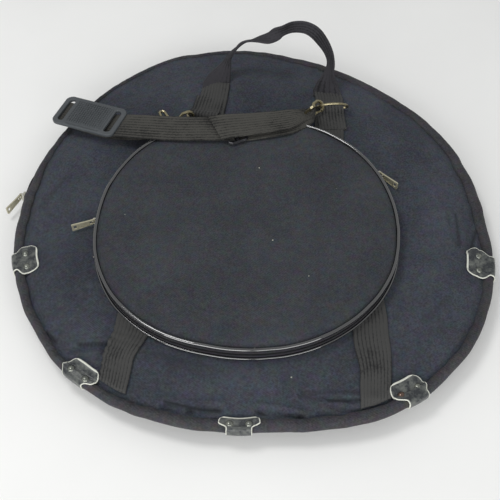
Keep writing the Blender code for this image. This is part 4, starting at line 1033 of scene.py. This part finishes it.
@dataclass
class RimGuard:
    """A vinyl patch folded over the rim and held by two rivets."""

    finishes: Finishes
    index: int
    shell: Shell
    radius: float = RIM_RADIUS
    width: float = 0.0425
    neck: float = 0.0275
    lobe: float = 0.0225
    corner: float = 0.0095
    reach: float = 0.031
    lean: float = 0.0
    lift: float = 0.0012
    thickness: float = 0.0014
    trim: float = 0.0008
    rivet_spacing: float = 0.021
    rivet_back: float = 0.0120
    rows: int = 72
    lanes: int = 24

    def azimuth(self) -> float:
        """Return the middle of the guard, in radians."""
        return math.radians(GUARD_AZIMUTHS[self.index])

    def path(self) -> list[Vector]:
        """Return the patch's section: x off the rim's circle and z up, tip first."""
        flat = self.reach / MM
        points = [(-flat, 31.4), (-flat * 0.66, 32.0), (-flat * 0.33, 32.9), (-4.6, 33.4),
                  (-2.0, 32.9), (-0.2, 31.5), (0.7, 29.2), (1.0, 25.6), (0.4, 22.2),
                  (-2.0, 19.0), (-6.0, 15.6), (-9.6, 12.0)]
        return catmull([Vector((x * MM, 0, z * MM)) for x, z in points], self.rows + 1)

    def half_width(self, run: float) -> float:
        """Return the patch's half width at a distance from its tip."""
        wide = self.width / 2
        narrow = self.neck / 2
        if run < self.corner:
            back = self.corner - run
            return wide - self.corner + math.sqrt(self.corner ** 2 - back ** 2)
        return wide - (wide - narrow) * ease(run, self.lobe * 0.64, self.lobe * 1.20)

    def surface(self, path: list[Vector], step: float, across: float) -> tuple[Vector, Vector]:
        """Return a point of the patch and its outward normal.

        Args:
            path: the patch's section.
            step: where along the section, in points.
            across: the distance along the rim.

        Returns:
            The place in the bag's frame and the normal there.
        """
        index = max(1, min(len(path) - 2, round(step)))
        spot = path[max(0, min(len(path) - 1, round(step)))]
        run = path[index + 1] - path[index - 1]
        normal = Vector((-run.z, 0, run.x)).normalized()
        across += self.lean * ease(-spot.x, 0.002, 0.020)
        turn = Matrix.Rotation(self.azimuth() + across / self.radius, 4, "Z")
        place = settled(turn @ Vector((self.radius + spot.x, 0, spot.z)))
        if spot.x < -0.004:
            bed = self.shell.top(place.x, place.y) + self.lift + self.thickness / 2
            place.z = max(place.z, bed) if spot.z > 0.03 else place.z
        return place, (turn.to_3x3() @ normal)

    def patch(self) -> None:
        """Make the vinyl patch with its pale trimmed edge."""
        path = self.path()
        length = run_length(path)
        bm = bmesh.new()
        bmesh.ops.create_grid(bm, x_segments=self.rows, y_segments=self.lanes, size=1.0)
        for face in bm.faces:
            middle = face.calc_center_median()
            side = abs(middle.y) > 1.0 - 1.9 / self.lanes
            tip = middle.x < -1.0 + 3.0 / self.rows
            face.material_index = 1 if side or tip else 0
        edge_lane = 1.0 - 2.0 / self.lanes
        for vert in bm.verts:
            share_along = (vert.co.x + 1) / 2
            run = length * share_along
            half = self.half_width(run)
            inner = max(0.0, half - self.trim)
            lane = abs(vert.co.y)
            if lane <= edge_lane + 1e-6:
                across = inner * lane / edge_lane
            else:
                across = half
            across = math.copysign(across, vert.co.y)
            place, normal = self.surface(path, share_along * self.rows, across)
            bead = 0.5 * MM if lane > edge_lane + 1e-6 or share_along < 1.5 / self.rows else 0.0
            dent = noise.noise(place * 60.0) * 0.5 * MM
            vert.co = place + normal * (dent + bead * 0.6)
        obj = to_object(bm, "vinyl_guard_%d" % (self.index + 1), self.finishes.vinyl,
                        self.finishes.cut_edge)
        done = thickened(obj, self.thickness, rim=1)
        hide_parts("rim_guard_%d" % (self.index + 1))
        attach(done, "bag")

    def rivets(self) -> None:
        """Make the two domed rivets."""
        path = self.path()
        length = run_length(path)
        step = self.rivet_back / length * (len(path) - 1)
        for sign, label in ((-1, "a"), (1, "b")):
            bared = self.index == 3 and sign < 0
            finish = self.finishes.copper_rivet if bared else self.finishes.rivet
            place, normal = self.surface(path, step, sign * self.rivet_spacing / 2)
            bm = lathe(off_radius(0.0, RIVET_PROFILE), 24)
            turn = normal.to_track_quat("Z", "Y").to_matrix().to_4x4()
            lift = Matrix.Translation(place + normal * (self.thickness / 2))
            bmesh.ops.transform(bm, matrix=lift @ turn, verts=bm.verts)
            rivet = to_object(bm, "domed_rivet_%d%s" % (self.index + 1, label), finish)
            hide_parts("rivet_%d%s" % (self.index + 1, label))
            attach(rivet, "bag")

    def build(self) -> None:
        """Make the guard and its rivets."""
        self.patch()
        self.rivets()


# ---------------------------------------------------------------- pocket


@dataclass
class Pocket:
    """The round front pocket: side, zip, piping and domed front."""

    finishes: Finishes
    radius: float = POCKET_RADIUS
    steps: int = 256
    zip_z: float = 0.0427
    row_offset: float = 0.00085
    tooth: tuple[float, float, float] = (0.0016, 0.0013, 0.0016)
    tube_sides: int = 14

    def centred(self, bm: bmesh.types.BMesh) -> bmesh.types.BMesh:
        """Slump a turned shape to the pocket's soft outline and move it to its centre."""
        for vert in bm.verts:
            reach = math.hypot(vert.co.x, vert.co.y)
            if reach > 1e-6:
                angle = math.atan2(vert.co.y, vert.co.x)
                drift = round_table(POCKET_DRIFT, angle) * ease(reach, 0.03, 0.178)
                vert.co.x *= 1 + drift / reach
                vert.co.y *= 1 + drift / reach
        bmesh.ops.translate(bm, vec=(0, POCKET_Y, 0), verts=bm.verts)
        return bm

    def front(self) -> None:
        """Make the pocket's domed front in one piece across its fold."""
        edge = self.radius - 0.0024
        profile = [(0.0, 0.0565)]
        for index in range(1, 48):
            share = (index / 47.0) ** 0.9
            profile.append((edge * share, 0.0540))
        profile += [(edge, 0.0512), (edge - 0.003, 0.0505), (0.09, 0.0505), (0.0, 0.0505)]
        bm = lathe(profile, self.steps)

        def place(co: Vector) -> Vector:
            """Lift the face to its soft dome."""
            if co.z < 0.0525:
                return co
            share = math.hypot(co.x, co.y) / edge
            spot = Vector((co.x, co.y, 4.0))
            soft = noise.noise(spot * 13.0) * 0.9 + noise.noise(spot * 31.0) * 0.35
            dome = 0.0030 * (1 - share ** 4)
            dip = 0.0016 * ease(share, 0.955, 0.99)
            return Vector((co.x, co.y, 0.0537 + dome - dip + soft * MM * (1 - share ** 6)))

        front = to_object(self.centred(moved(bm, place)), "pocket_front",
                          self.finishes.pocket_cloth)
        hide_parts("pocket_top_panel", "pocket_flap")
        self.bent(front)

    def bent(self, piece: bpy.types.Object) -> None:
        """Bake a piece's placement into its mesh."""
        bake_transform(piece)

    def hoop(self, name: str, radius: float, height: float, tube: float,
             ripple: float) -> bpy.types.Object:
        """Make a round of piping."""
        section = []
        for index in range(self.tube_sides):
            angle = math.tau * index / self.tube_sides
            section.append((radius + tube * math.cos(angle), height + tube * math.sin(angle)))
        bm = lathe(section, self.steps)

        def place(co: Vector) -> Vector:
            """Let the piping wander a little."""
            angle = math.atan2(co.y, co.x)
            around = heading(angle, 1.3)
            shift = noise.noise(around * 4.0) * ripple
            scale = 1 + noise.noise(around * 9.0) * ripple * 0.6 / radius
            return Vector((co.x * scale, co.y * scale, co.z + shift * 0.5))

        hoop = to_object(self.centred(moved(bm, place)), name, self.finishes.piping)
        return hoop

    def wall(self) -> None:
        """Make the pocket's side below and above its zip."""
        low = [(-2.4, 33.4), (0.3, 33.6), (0.5, 36.0), (0.4, 40.0), (0.1, 42.2), (-2.4, 42.2)]
        lower = lathe(off_radius(self.radius, low), self.steps)
        wall = to_object(self.centred(lower), "pocket_side_lower", self.finishes.zip_cloth)
        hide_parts("pocket_wall")
        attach(wall, "bag")
        high = [(-2.4, 43.4), (0.1, 43.4), (0.4, 46.0), (0.2, 49.8), (-2.4, 49.8)]
        upper = lathe(off_radius(self.radius, high), self.steps)
        skirt = to_object(self.centred(upper), "pocket_side_upper", self.finishes.zip_cloth)
        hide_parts("pocket_skirt")
        self.bent(skirt)

    def teeth(self) -> None:
        """Make the pocket zip's two rows of teeth."""
        reach = math.asin((POCKET_FOLD_Y - POCKET_Y) / self.radius)
        sweep = math.pi + 2 * reach
        count = int(self.radius * sweep / TOOTH_PITCH)
        for name, height, shift in (("pocket_coil_lower", -self.row_offset, 0.0),
                                    ("pocket_coil_upper", self.row_offset, 0.5)):
            bm = bmesh.new()
            angles = [math.pi - reach + sweep * (index + shift) / count
                      for index in range(count)]
            tooth_row(bm, self.radius - 0.0002, self.zip_z + height, self.tooth, angles)
            row = to_object(self.centred(bm), name, self.finishes.teeth, smooth=False)
            if height < 0:
                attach(row, "bag")
            else:
                self.bent(row)

    def build(self) -> None:
        """Make the whole pocket."""
        self.wall()
        self.teeth()
        self.front()
        top = self.hoop("top_piping", self.radius, 0.0524, 0.0021, 0.0008)
        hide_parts("pocket_top_piping", "pocket_flap_piping")
        self.bent(top)
        base = self.hoop("seam_piping", self.radius + 0.0019, 0.0369, 0.0016, 0.0006)
        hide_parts("pocket_base_piping")
        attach(base, "bag")


# ---------------------------------------------------------------- webbing


@dataclass
class Bands:
    """The two webbing bands that run from the rim under the pocket to the handle."""

    finishes: Finishes
    shell: Shell
    # the middle's x and the width down each band: (y, x) and (y, width) in metres
    left: tuple = ((-0.280, -0.1312), (-0.229, -0.1296), (-0.185, -0.1200), (-0.02, -0.0935),
                   (0.128, -0.0685), (0.2165, -0.0640))
    right: tuple = ((-0.280, 0.1495), (-0.225, 0.1500), (-0.165, 0.1445), (-0.02, 0.1180),
                    (0.128, 0.0930), (0.190, 0.0925), (0.2165, 0.0885))
    gathered: tuple = ((-0.270, 0.0305), (-0.229, 0.0325), (-0.185, 0.038), (0.128, 0.038),
                       (0.190, 0.0365), (0.2165, 0.036))
    width: float = 0.038
    thickness: float = 0.0016
    ribs: int = 9
    rib_depth: float = 0.00045
    foot_radius: float = 0.2838
    top_y: float = 0.2165
    length: float = 0.47
    rows: int = 150
    # the heights at which the band lies over the cover, and lies flat under the pocket
    clearance: float = 0.0003
    under_pocket: float = 0.0350

    def centre(self, side: Side, y: float) -> Vector:
        """Return the middle of a band at a height of the bag."""
        return Vector((between(self.left if side is Side.LEFT else self.right, y), y, 0))

    def foot(self, side: Side, across: Vector) -> float:
        """Return where a lane of the band meets the rim's groove."""
        y = -0.20
        narrow = self.gathered[0][1] / self.width
        while settled_inside(self.centre(side, y) + across * narrow) < self.foot_radius:
            y -= 0.0005
        return y

    def lay(self, side: Side, label: str) -> bpy.types.Object:
        """Lay one band over the cover.

        Args:
            side: which of the two bands.
            label: the side's name in the pieces' names.

        Returns:
            The band, ribbed and closed.
        """
        along = (self.centre(side, 0.2) - self.centre(side, -0.2)).normalized()
        across = Vector((along.y, -along.x, 0))
        bm = webbing_grid(self.rows, self.ribs * 4, self.length, self.width)
        feet = {}
        for vert in bm.verts:
            lane = round(vert.co.y, 5)
            shift = across * (lane * self.width / 2)
            if lane not in feet:
                feet[lane] = self.foot(side, shift)
            y = feet[lane] + (self.top_y - feet[lane]) * (vert.co.x + 1) / 2
            gather = 0.0
            if side is Side.LEFT:
                gather = ease(y, -0.262, -0.235) * (1 - ease(y, -0.20, -0.18))
            ripple = math.sin(y / 0.0088 * math.tau + lane * 1.3) * (1 - 0.5 * lane)
            narrow = between(self.gathered, y) / self.width
            spot = self.centre(side, y) + shift * narrow * (1 + 0.03 * gather * ripple)
            lift = self.rib_depth * (rib_wave(self.ribs, lane) - 1.0) - 0.0005 * abs(lane) ** 12
            lift += gather * ripple * 0.0006 + 0.0004 * noise.noise(spot * 70.0)
            spot.z = self.shell.top(spot.x, spot.y) + self.thickness + self.clearance + lift
            if math.hypot(spot.x, spot.y - POCKET_Y) < POCKET_RADIUS - 0.002:
                spot.z = min(spot.z, self.under_pocket + lift)
            vert.co = spot
        return thickened(to_object(bm, label + "_webbing_band", self.finishes.webbing),
                         self.thickness, -1.0)

    def build(self) -> None:
        """Make both bands, each in one length across the fold."""
        for side, label in ((Side.LEFT, "left"), (Side.RIGHT, "right")):
            band = self.lay(side, label)
            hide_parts(label + "_band", label + "_flap_band")
            bend_with_cover(band)


@dataclass
class Handle:
    """The carrying handle: the bands' webbing folded lengthwise, twisting as it rises."""

    finishes: Finishes
    # the run from the left band to the right one: x, y, z, width (mm) and twist (degrees)
    stations: tuple = (
        (-64.5, 203, 34.4, 36, 0), (-64.0, 213, 35.6, 36, 0), (-61.5, 221.5, 38.0, 32, 0),
        (-57.0, 229.5, 44, 24, -6), (-51.5, 237.0, 54, 15.5, -32), (-47.4, 241.4, 63, 15.5, -56),
        (-39.3, 244.8, 73, 16, -70), (-29.6, 245.8, 84, 16, -74), (-19.8, 243.5, 90, 16, -70),
        (-8.9, 242.5, 94, 16, -50), (4.6, 241.3, 98, 16.5, -18), (15.2, 243.6, 103, 16, 26),
        (24.8, 247.2, 107, 16, 60), (37.4, 251.3, 110, 16, 52), (53.5, 250.5, 111, 16, 46),
        (67.2, 244.4, 108, 16, 38), (78.2, 237.0, 99, 16, 48), (87.0, 232.2, 86, 15.5, 64),
        (91.2, 229.8, 72, 15.5, 66), (91.0, 227.3, 60, 16, 52), (89.6, 223.6, 49.5, 20, 24),
        (88.6, 218.5, 41.5, 29, 4), (88.4, 211, 36.2, 35, 0), (88.6, 201, 34.4, 36, 0))

    def build(self) -> None:
        """Make the handle."""
        facing = Vector((0.05, -0.52, 0.85)).normalized()
        centres = [Vector(row[:3]) * MM for row in self.stations]
        acrosses = []
        for index, row in enumerate(self.stations):
            ahead = centres[min(index + 1, len(centres) - 1)] - centres[max(index - 1, 0)]
            across = ahead.cross(facing).normalized()
            turn = Matrix.Rotation(math.radians(row[4]), 3, ahead.normalized())
            acrosses.append(turn @ across * (row[3] * MM))
        handle = Ribbon("webbing_handle", self.finishes.handle, centres, acrosses, width=0.019,
                        thickness=0.0030, ribs=5, rib_height=0.0004, step=0.0022).build()
        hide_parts("carrying_handle")
        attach(handle, "handle")


@dataclass
class RingTabs:
    """The sewn webbing loops that hold the two rings."""

    finishes: Finishes
    length: float = 0.0385
    bar_z: float = 0.040
    # the lower layer's height under the ring's bar, the upper one's over it, and the bend
    low: float = -0.0042
    apart: float = 0.0018
    bend: float = 0.0029

    def build(self) -> None:
        """Make both loops, the right one pulled a little inwards."""
        low, bend = self.low, self.bend
        high = low + self.apart
        for side, x, y, width, label in ((Side.LEFT, -0.0749, 0.147, 0.038, "left"),
                                         (Side.RIGHT, 0.0930, 0.174, 0.036, "right")):
            towards = Vector((-side.value * 0.1350, 0.9908, 0.0)) * side.value
            across = towards.cross(Vector((0, 0, 1)))
            centre = Vector((x, y, self.bar_z))
            path = [(-self.length, high), (-self.length / 3, high + 0.0004),
                    (-bend * 2, bend * 0.7)]
            for index in range(7):
                angle = math.radians(90.0 - 30.0 * index)
                path.append((bend * math.cos(angle), bend * math.sin(angle)))
            path += [(-bend * 2, -bend), (-self.length / 3, low), (-self.length, low)]
            centres = [centre + towards * x + Vector((0, 0, z)) for x, z in path]
            made = Ribbon(label + "_webbing_tab", self.finishes.webbing, centres,
                          [across * width] * len(centres), width, step=0.0015).build()
            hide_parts(label + "_ring_tab")
            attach(made, "bag")


@dataclass
class ShoulderStrap:
    """The shoulder strap, its doubled end and the webbing back to the left hook."""

    finishes: Finishes

    def ribbon(self, name: str, rows: tuple, step: float = 0.003) -> bpy.types.Object:
        """Make webbing from rows of its two edges.

        Args:
            name: the piece's name.
            rows: (x, y, z) of one edge and of the other, in millimetres.
            step: the length of a row of faces, in metres.

        Returns:
            The webbing.
        """
        centres = []
        acrosses = []
        for first, second in rows:
            one = Vector(first) * MM
            two = Vector(second) * MM
            centres.append((one + two) / 2)
            acrosses.append((one - two))
        return Ribbon(name, self.finishes.strap, centres, acrosses, step=step).build()

    def build(self) -> None:
        """Make the strap's lengths."""
        upper = self.ribbon("strap_upper", (
            ((72.5, 151.0, 60.5), (71.0, 140.5, 52.0)),
            ((56.0, 143.5, 64.5), (58.5, 128.0, 57.5)),
            ((38.0, 139.0, 66.5), (44.0, 110.5, 62.0)),
            ((18.0, 133.5, 67.0), (25.0, 101.0, 65.0)),
            ((-11.0, 127.5, 67.5), (-5.0, 91.5, 66.0)),
            ((-30.0, 125.0, 67.5), (-24.0, 86.5, 65.5)),
            ((-46.0, 122.5, 67.5), (-33.0, 84.5, 65.0)),
            ((-64.5, 118.5, 67.0), (-43.5, 81.0, 64.5))))
        lower = self.ribbon("strap_lower", (
            ((-36.0, 123.0, 62.5), (-28.0, 84.0, 61.0)),
            ((-69.0, 121.5, 62.5), (-64.0, 82.0, 61.0)),
            ((-102.0, 122.0, 60.0), (-100.0, 81.0, 58.5)),
            ((-141.0, 124.0, 57.5), (-142.0, 83.0, 56.5)),
            ((-168.0, 128.0, 53.0), (-177.0, 88.0, 52.5)),
            ((-187.0, 132.0, 47.5), (-199.0, 94.0, 47.0)),
            ((-219.0, 143.0, 45.6), (-231.0, 105.5, 45.2)),
            ((-246.0, 150.0, 45.4), (-257.0, 114.0, 45.0)),
            ((-257.0, 153.0, 45.4), (-266.5, 121.0, 45.0))))
        doubled = self.ribbon("strap_doubled", (
            ((73.5, 150.5, 55.5), (72.0, 137.5, 49.0)),
            ((60.0, 142.5, 57.5), (62.0, 122.5, 52.5)),
            ((38.0, 135.5, 60.0), (44.0, 105.5, 57.5)),
            ((12.0, 128.0, 60.5), (18.0, 95.5, 59.0)),
            ((-14.0, 122.5, 60.0), (-8.0, 88.5, 58.5)),
            ((-30.0, 121.0, 58.5), (-25.0, 86.5, 57.5))))
        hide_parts("shoulder_strap")
        back = self.ribbon("strap_return", (
            ((-255.0, 154.0, 42.4), (-267.0, 117.0, 42.4)),
            ((-219.0, 142.0, 42.3), (-231.0, 105.0, 42.3)),
            ((-187.0, 131.5, 42.3), (-194.0, 94.5, 42.3)),
            ((-163.0, 129.0, 43.6), (-157.0, 93.0, 43.6)),
            ((-139.0, 132.5, 45.8), (-124.0, 98.5, 45.8))))
        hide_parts("strap_return")
        for piece in (upper, lower, doubled, back):
            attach(piece, "bag")


# ---------------------------------------------------------------- hardware


@dataclass
class ShoulderPad:
    """The moulded pad: a plate with two slots and a gripping field of small studs."""

    finishes: Finishes
    length: float = 0.094
    width: float = 0.052
    thickness: float = 0.0045
    turn_deg: float = 162.5
    tilt_deg: float = 2.8
    slot_length: float = 0.040
    slot_width: float = 0.0085
    slot_inset: float = 0.0135
    corner: float = 0.0075
    edge_bevel: float = 0.0011
    bow: float = 0.0016
    spot: tuple[float, float, float] = (-0.2235, 0.1240, 0.0515)
    stud_pitch: float = 0.0034
    stud: tuple[float, float, float] = (0.0024, 0.0022, 0.0020)
    stud_lift: float = 0.0004
    stud_taper: float = 0.55

    def rounded(self, long: float, wide: float, corner: float, steps: int,
                bulge: float = 0.0) -> list[Vector]:
        """Return the outline of a rounded oblong, its points spread corner by corner."""
        points = []
        for turn, (sx, sy) in enumerate(((1, 1), (-1, 1), (-1, -1), (1, -1))):
            for index in range(steps + 1):
                angle = math.radians(90.0 * (turn + index / steps))
                point = Vector((sx * (long / 2 - corner) + corner * math.cos(angle),
                                sy * (wide / 2 - corner) + corner * math.sin(angle), 0))
                point.x += sx * bulge * (1 - (2 * point.y / wide) ** 2)
                points.append(point)
        return points

    def plate(self) -> bpy.types.Object:
        """Make the plate with its slots and softened edges."""
        bm = bmesh.new()
        edges = []
        loops = [self.rounded(self.length - 0.007, self.width, self.corner, 8, 0.0035)]
        for sign in (-1, 1):
            middle = sign * (self.length / 2 - self.slot_inset)
            slot = self.rounded(self.slot_width, self.slot_length, self.slot_width * 0.49, 5)
            loops.append([Vector((middle + point.x
                                  + sign * 0.0028 * (1 - (point.y / 0.02) ** 2), point.y, 0))
                          for point in slot])
        for loop in loops:
            verts = [bm.verts.new(point) for point in loop]
            edges += [bm.edges.new(pair) for pair in zip(verts, verts[1:] + verts[:1])]
        bmesh.ops.triangle_fill(bm, edges=edges, use_beauty=True, use_dissolve=False)
        bmesh.ops.remove_doubles(bm, verts=bm.verts, dist=1e-5)
        bmesh.ops.recalc_face_normals(bm, faces=bm.faces)
        if bm.faces[:] and bm.faces[:][0].normal.z < 0:
            bmesh.ops.reverse_faces(bm, faces=bm.faces)
        made = bmesh.ops.extrude_face_region(bm, geom=bm.faces[:])
        lifted = [item for item in made["geom"] if isinstance(item, bmesh.types.BMVert)]
        bmesh.ops.translate(bm, vec=(0, 0, self.thickness), verts=lifted)
        bmesh.ops.translate(bm, vec=(0, 0, -self.thickness / 2), verts=bm.verts)
        bmesh.ops.recalc_face_normals(bm, faces=bm.faces)
        rims = [edge for edge in bm.edges if len(edge.link_faces) == 2
                and edge.calc_face_angle(0.0) > math.radians(60)]
        bmesh.ops.bevel(bm, geom=rims, offset=self.edge_bevel, affect="EDGES", segments=3,
                        profile=0.5, material=-1)
        self.curve(bm)
        return to_object(bm, "moulded_shoulder_pad", self.finishes.moulded, smooth=False)

    def curve(self, bm: bmesh.types.BMesh) -> None:
        """Bow the pad a little and put it in its place on the strap."""
        for vert in bm.verts:
            vert.co.z -= self.bow * (vert.co.x / (self.length / 2)) ** 2
        place = Matrix.Translation(self.spot)
        place = place @ Matrix.Rotation(math.radians(self.turn_deg), 4, "Z")
        place = place @ Matrix.Rotation(math.radians(self.tilt_deg), 4, "Y")
        bmesh.ops.transform(bm, matrix=place, verts=bm.verts)

    def grip(self) -> bpy.types.Object:
        """Make the raised field of studs between the slots."""
        bm = bmesh.new()
        long = self.length - 2 * self.slot_inset - self.slot_width - 0.0075
        wide = self.width - 0.009
        columns = int(long / self.stud_pitch)
        rows = int(wide / self.stud_pitch)
        height = self.thickness / 2 + self.stud_lift
        for column in range(columns):
            for row in range(rows):
                x = (column - (columns - 1) / 2) * self.stud_pitch
                y = (row - (rows - 1) / 2) * self.stud_pitch
                place = Matrix.Translation((x, y, height)) @ Matrix.Diagonal((*self.stud, 1.0))
                stud = bmesh.ops.create_cube(bm, size=1.0, matrix=place)
                for vert in stud["verts"]:
                    if vert.co.z > height:
                        vert.co.x = x + (vert.co.x - x) * self.stud_taper
                        vert.co.y = y + (vert.co.y - y) * self.stud_taper
        outline = self.rounded(long + 0.003, wide + 0.003, 0.006, 6)
        verts = [bm.verts.new(point + Vector((0, 0, self.thickness / 2 - 0.0003)))
                 for point in outline]
        base = bm.faces.new(verts)
        made = bmesh.ops.extrude_face_region(bm, geom=[base])
        lifted = [item for item in made["geom"] if isinstance(item, bmesh.types.BMVert)]
        bmesh.ops.translate(bm, vec=(0, 0, 0.0007), verts=lifted)
        bmesh.ops.recalc_face_normals(bm, faces=bm.faces)
        self.curve(bm)
        return to_object(bm, "pad_grip_field", self.finishes.moulded, smooth=False)

    def build(self) -> None:
        """Make the pad."""
        plate = self.plate()
        grip = self.grip()
        for piece in (plate, grip):
            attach(piece, "pad")
        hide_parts("shoulder_pad")


@dataclass
class Hardware:
    """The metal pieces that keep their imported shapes."""

    finishes: Finishes

    def build(self) -> None:
        """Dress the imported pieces."""
        sides = ("left", "right")
        nickel = ["main_slider", *("pocket_%s_slider" % side for side in sides)]
        pulls = ["main_pull", *("pocket_%s_pull" % side for side in sides)]
        brass = [side + part for side in sides
                 for part in ("_d_ring", "_snap_hook", "_hook_gate", "_swivel_eye")]
        for names, material in ((nickel, self.finishes.nickel), (pulls, self.finishes.pull),
                                (brass, self.finishes.antique),
                                (["tri_glide"], self.finishes.black_metal)):
            for name in names:
                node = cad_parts[name]
                node.data.materials.clear()
                node.data.materials.append(material)


# ---------------------------------------------------------------- stage


@dataclass
class Studio:
    """The pale floor, the soft light and the camera."""

    focal_mm: float = 61.3
    sensor_mm: float = 36.0
    camera_spot: tuple[float, float, float] = (0.0472, -0.6701, 0.8486)
    camera_aim: tuple[float, float, float] = (0.0011, -0.0422, 0.0)
    lamp_aim: tuple[float, float, float] = (0.0, 0.0, 0.03)
    floor_reach: float = 4.0
    floor_gap: float = 0.0002
    sky: str = "#f4f5f6"
    sky_strength: float = 0.57

    def floor(self) -> None:
        """Lay the pale floor."""
        material, tree, shader = new_material("pale_paper", {
            "Roughness": 0.9, "Specular IOR Level": 0.2})
        coord = add_node(tree, "ShaderNodeTexCoord").outputs["Object"]
        tone = ramp(tree, clouds(tree, coord, 5.0, 6.0), 0.3, 0.7, "#f6f6f4", "#fafaf8")
        tree.links.new(tone.outputs[0], shader.inputs["Base Color"])
        bm = bmesh.new()
        bmesh.ops.create_grid(bm, x_segments=8, y_segments=8, size=self.floor_reach)
        floor = to_object(bm, "pale_floor", material, smooth=False)
        floor.location.z = -self.floor_gap

    def lamp(self, name: str, spot: tuple[float, float, float], size: float,
             power: float) -> None:
        """Hang a square soft lamp that faces the bag.

        Args:
            name: the lamp's name.
            spot: its place in metres.
            size: its side in metres.
            power: in watts.
        """
        data = bpy.data.lights.new(name, "AREA")
        data.shape = "SQUARE"
        data.size = size
        data.energy = power
        lamp = bpy.data.objects.new(name, data)
        lamp.location = spot
        aim = Vector(self.lamp_aim) - Vector(spot)
        lamp.rotation_euler = aim.to_track_quat("-Z", "Y").to_euler()
        bpy.context.scene.collection.objects.link(lamp)

    def build(self) -> None:
        """Make the stage, the light and the camera."""
        self.floor()
        self.lamp("ceiling_light", (-0.55, 0.05, 1.55), 0.45, 6.3)
        self.lamp("window_light", (-0.60, -1.95, 0.65), 1.5, 21.5)
        self.lamp("fill_light", (0.95, -1.90, 0.60), 1.4, 14.0)
        world = bpy.data.worlds.new("studio")
        world.use_nodes = True
        background = world.node_tree.nodes["Background"]
        background.inputs["Color"].default_value = hex_colour(self.sky)
        background.inputs["Strength"].default_value = self.sky_strength
        bpy.context.scene.world = world
        data = bpy.data.cameras.new("photo_camera")
        data.lens = self.focal_mm
        data.sensor_width = self.sensor_mm
        data.clip_end = 50.0
        camera = bpy.data.objects.new("photo_camera", data)
        camera.location = self.camera_spot
        aim = Vector(self.camera_aim) - camera.location
        camera.rotation_euler = aim.to_track_quat("-Z", "Y").to_euler()
        bpy.context.scene.collection.objects.link(camera)
        bpy.context.scene.camera = camera
        bpy.context.scene.view_settings.view_transform = "Standard"


def main() -> None:
    """Build every piece in order."""
    logging.basicConfig(level=logging.INFO, format="%(message)s")
    finishes = Finishes()
    shell = Shell(finishes)
    bands = Bands(finishes, shell)
    pieces = [("shell", shell), ("main zip", MainZip(finishes)), ("bands", bands),
              ("pocket", Pocket(finishes)), ("handle", Handle(finishes)),
              ("ring tabs", RingTabs(finishes)), ("strap", ShoulderStrap(finishes)),
              ("pad", ShoulderPad(finishes)), ("hardware", Hardware(finishes)),
              ("studio", Studio())]
    for index, shape in enumerate(GUARD_SHAPES):
        guard = RimGuard(finishes, index, shell, **shape)
        pieces.append(("guard %d" % (index + 1), guard))
    for label, piece in pieces:
        piece.build()
        LOG.info("built %s", label)


if __name__ == "__main__":
    main()
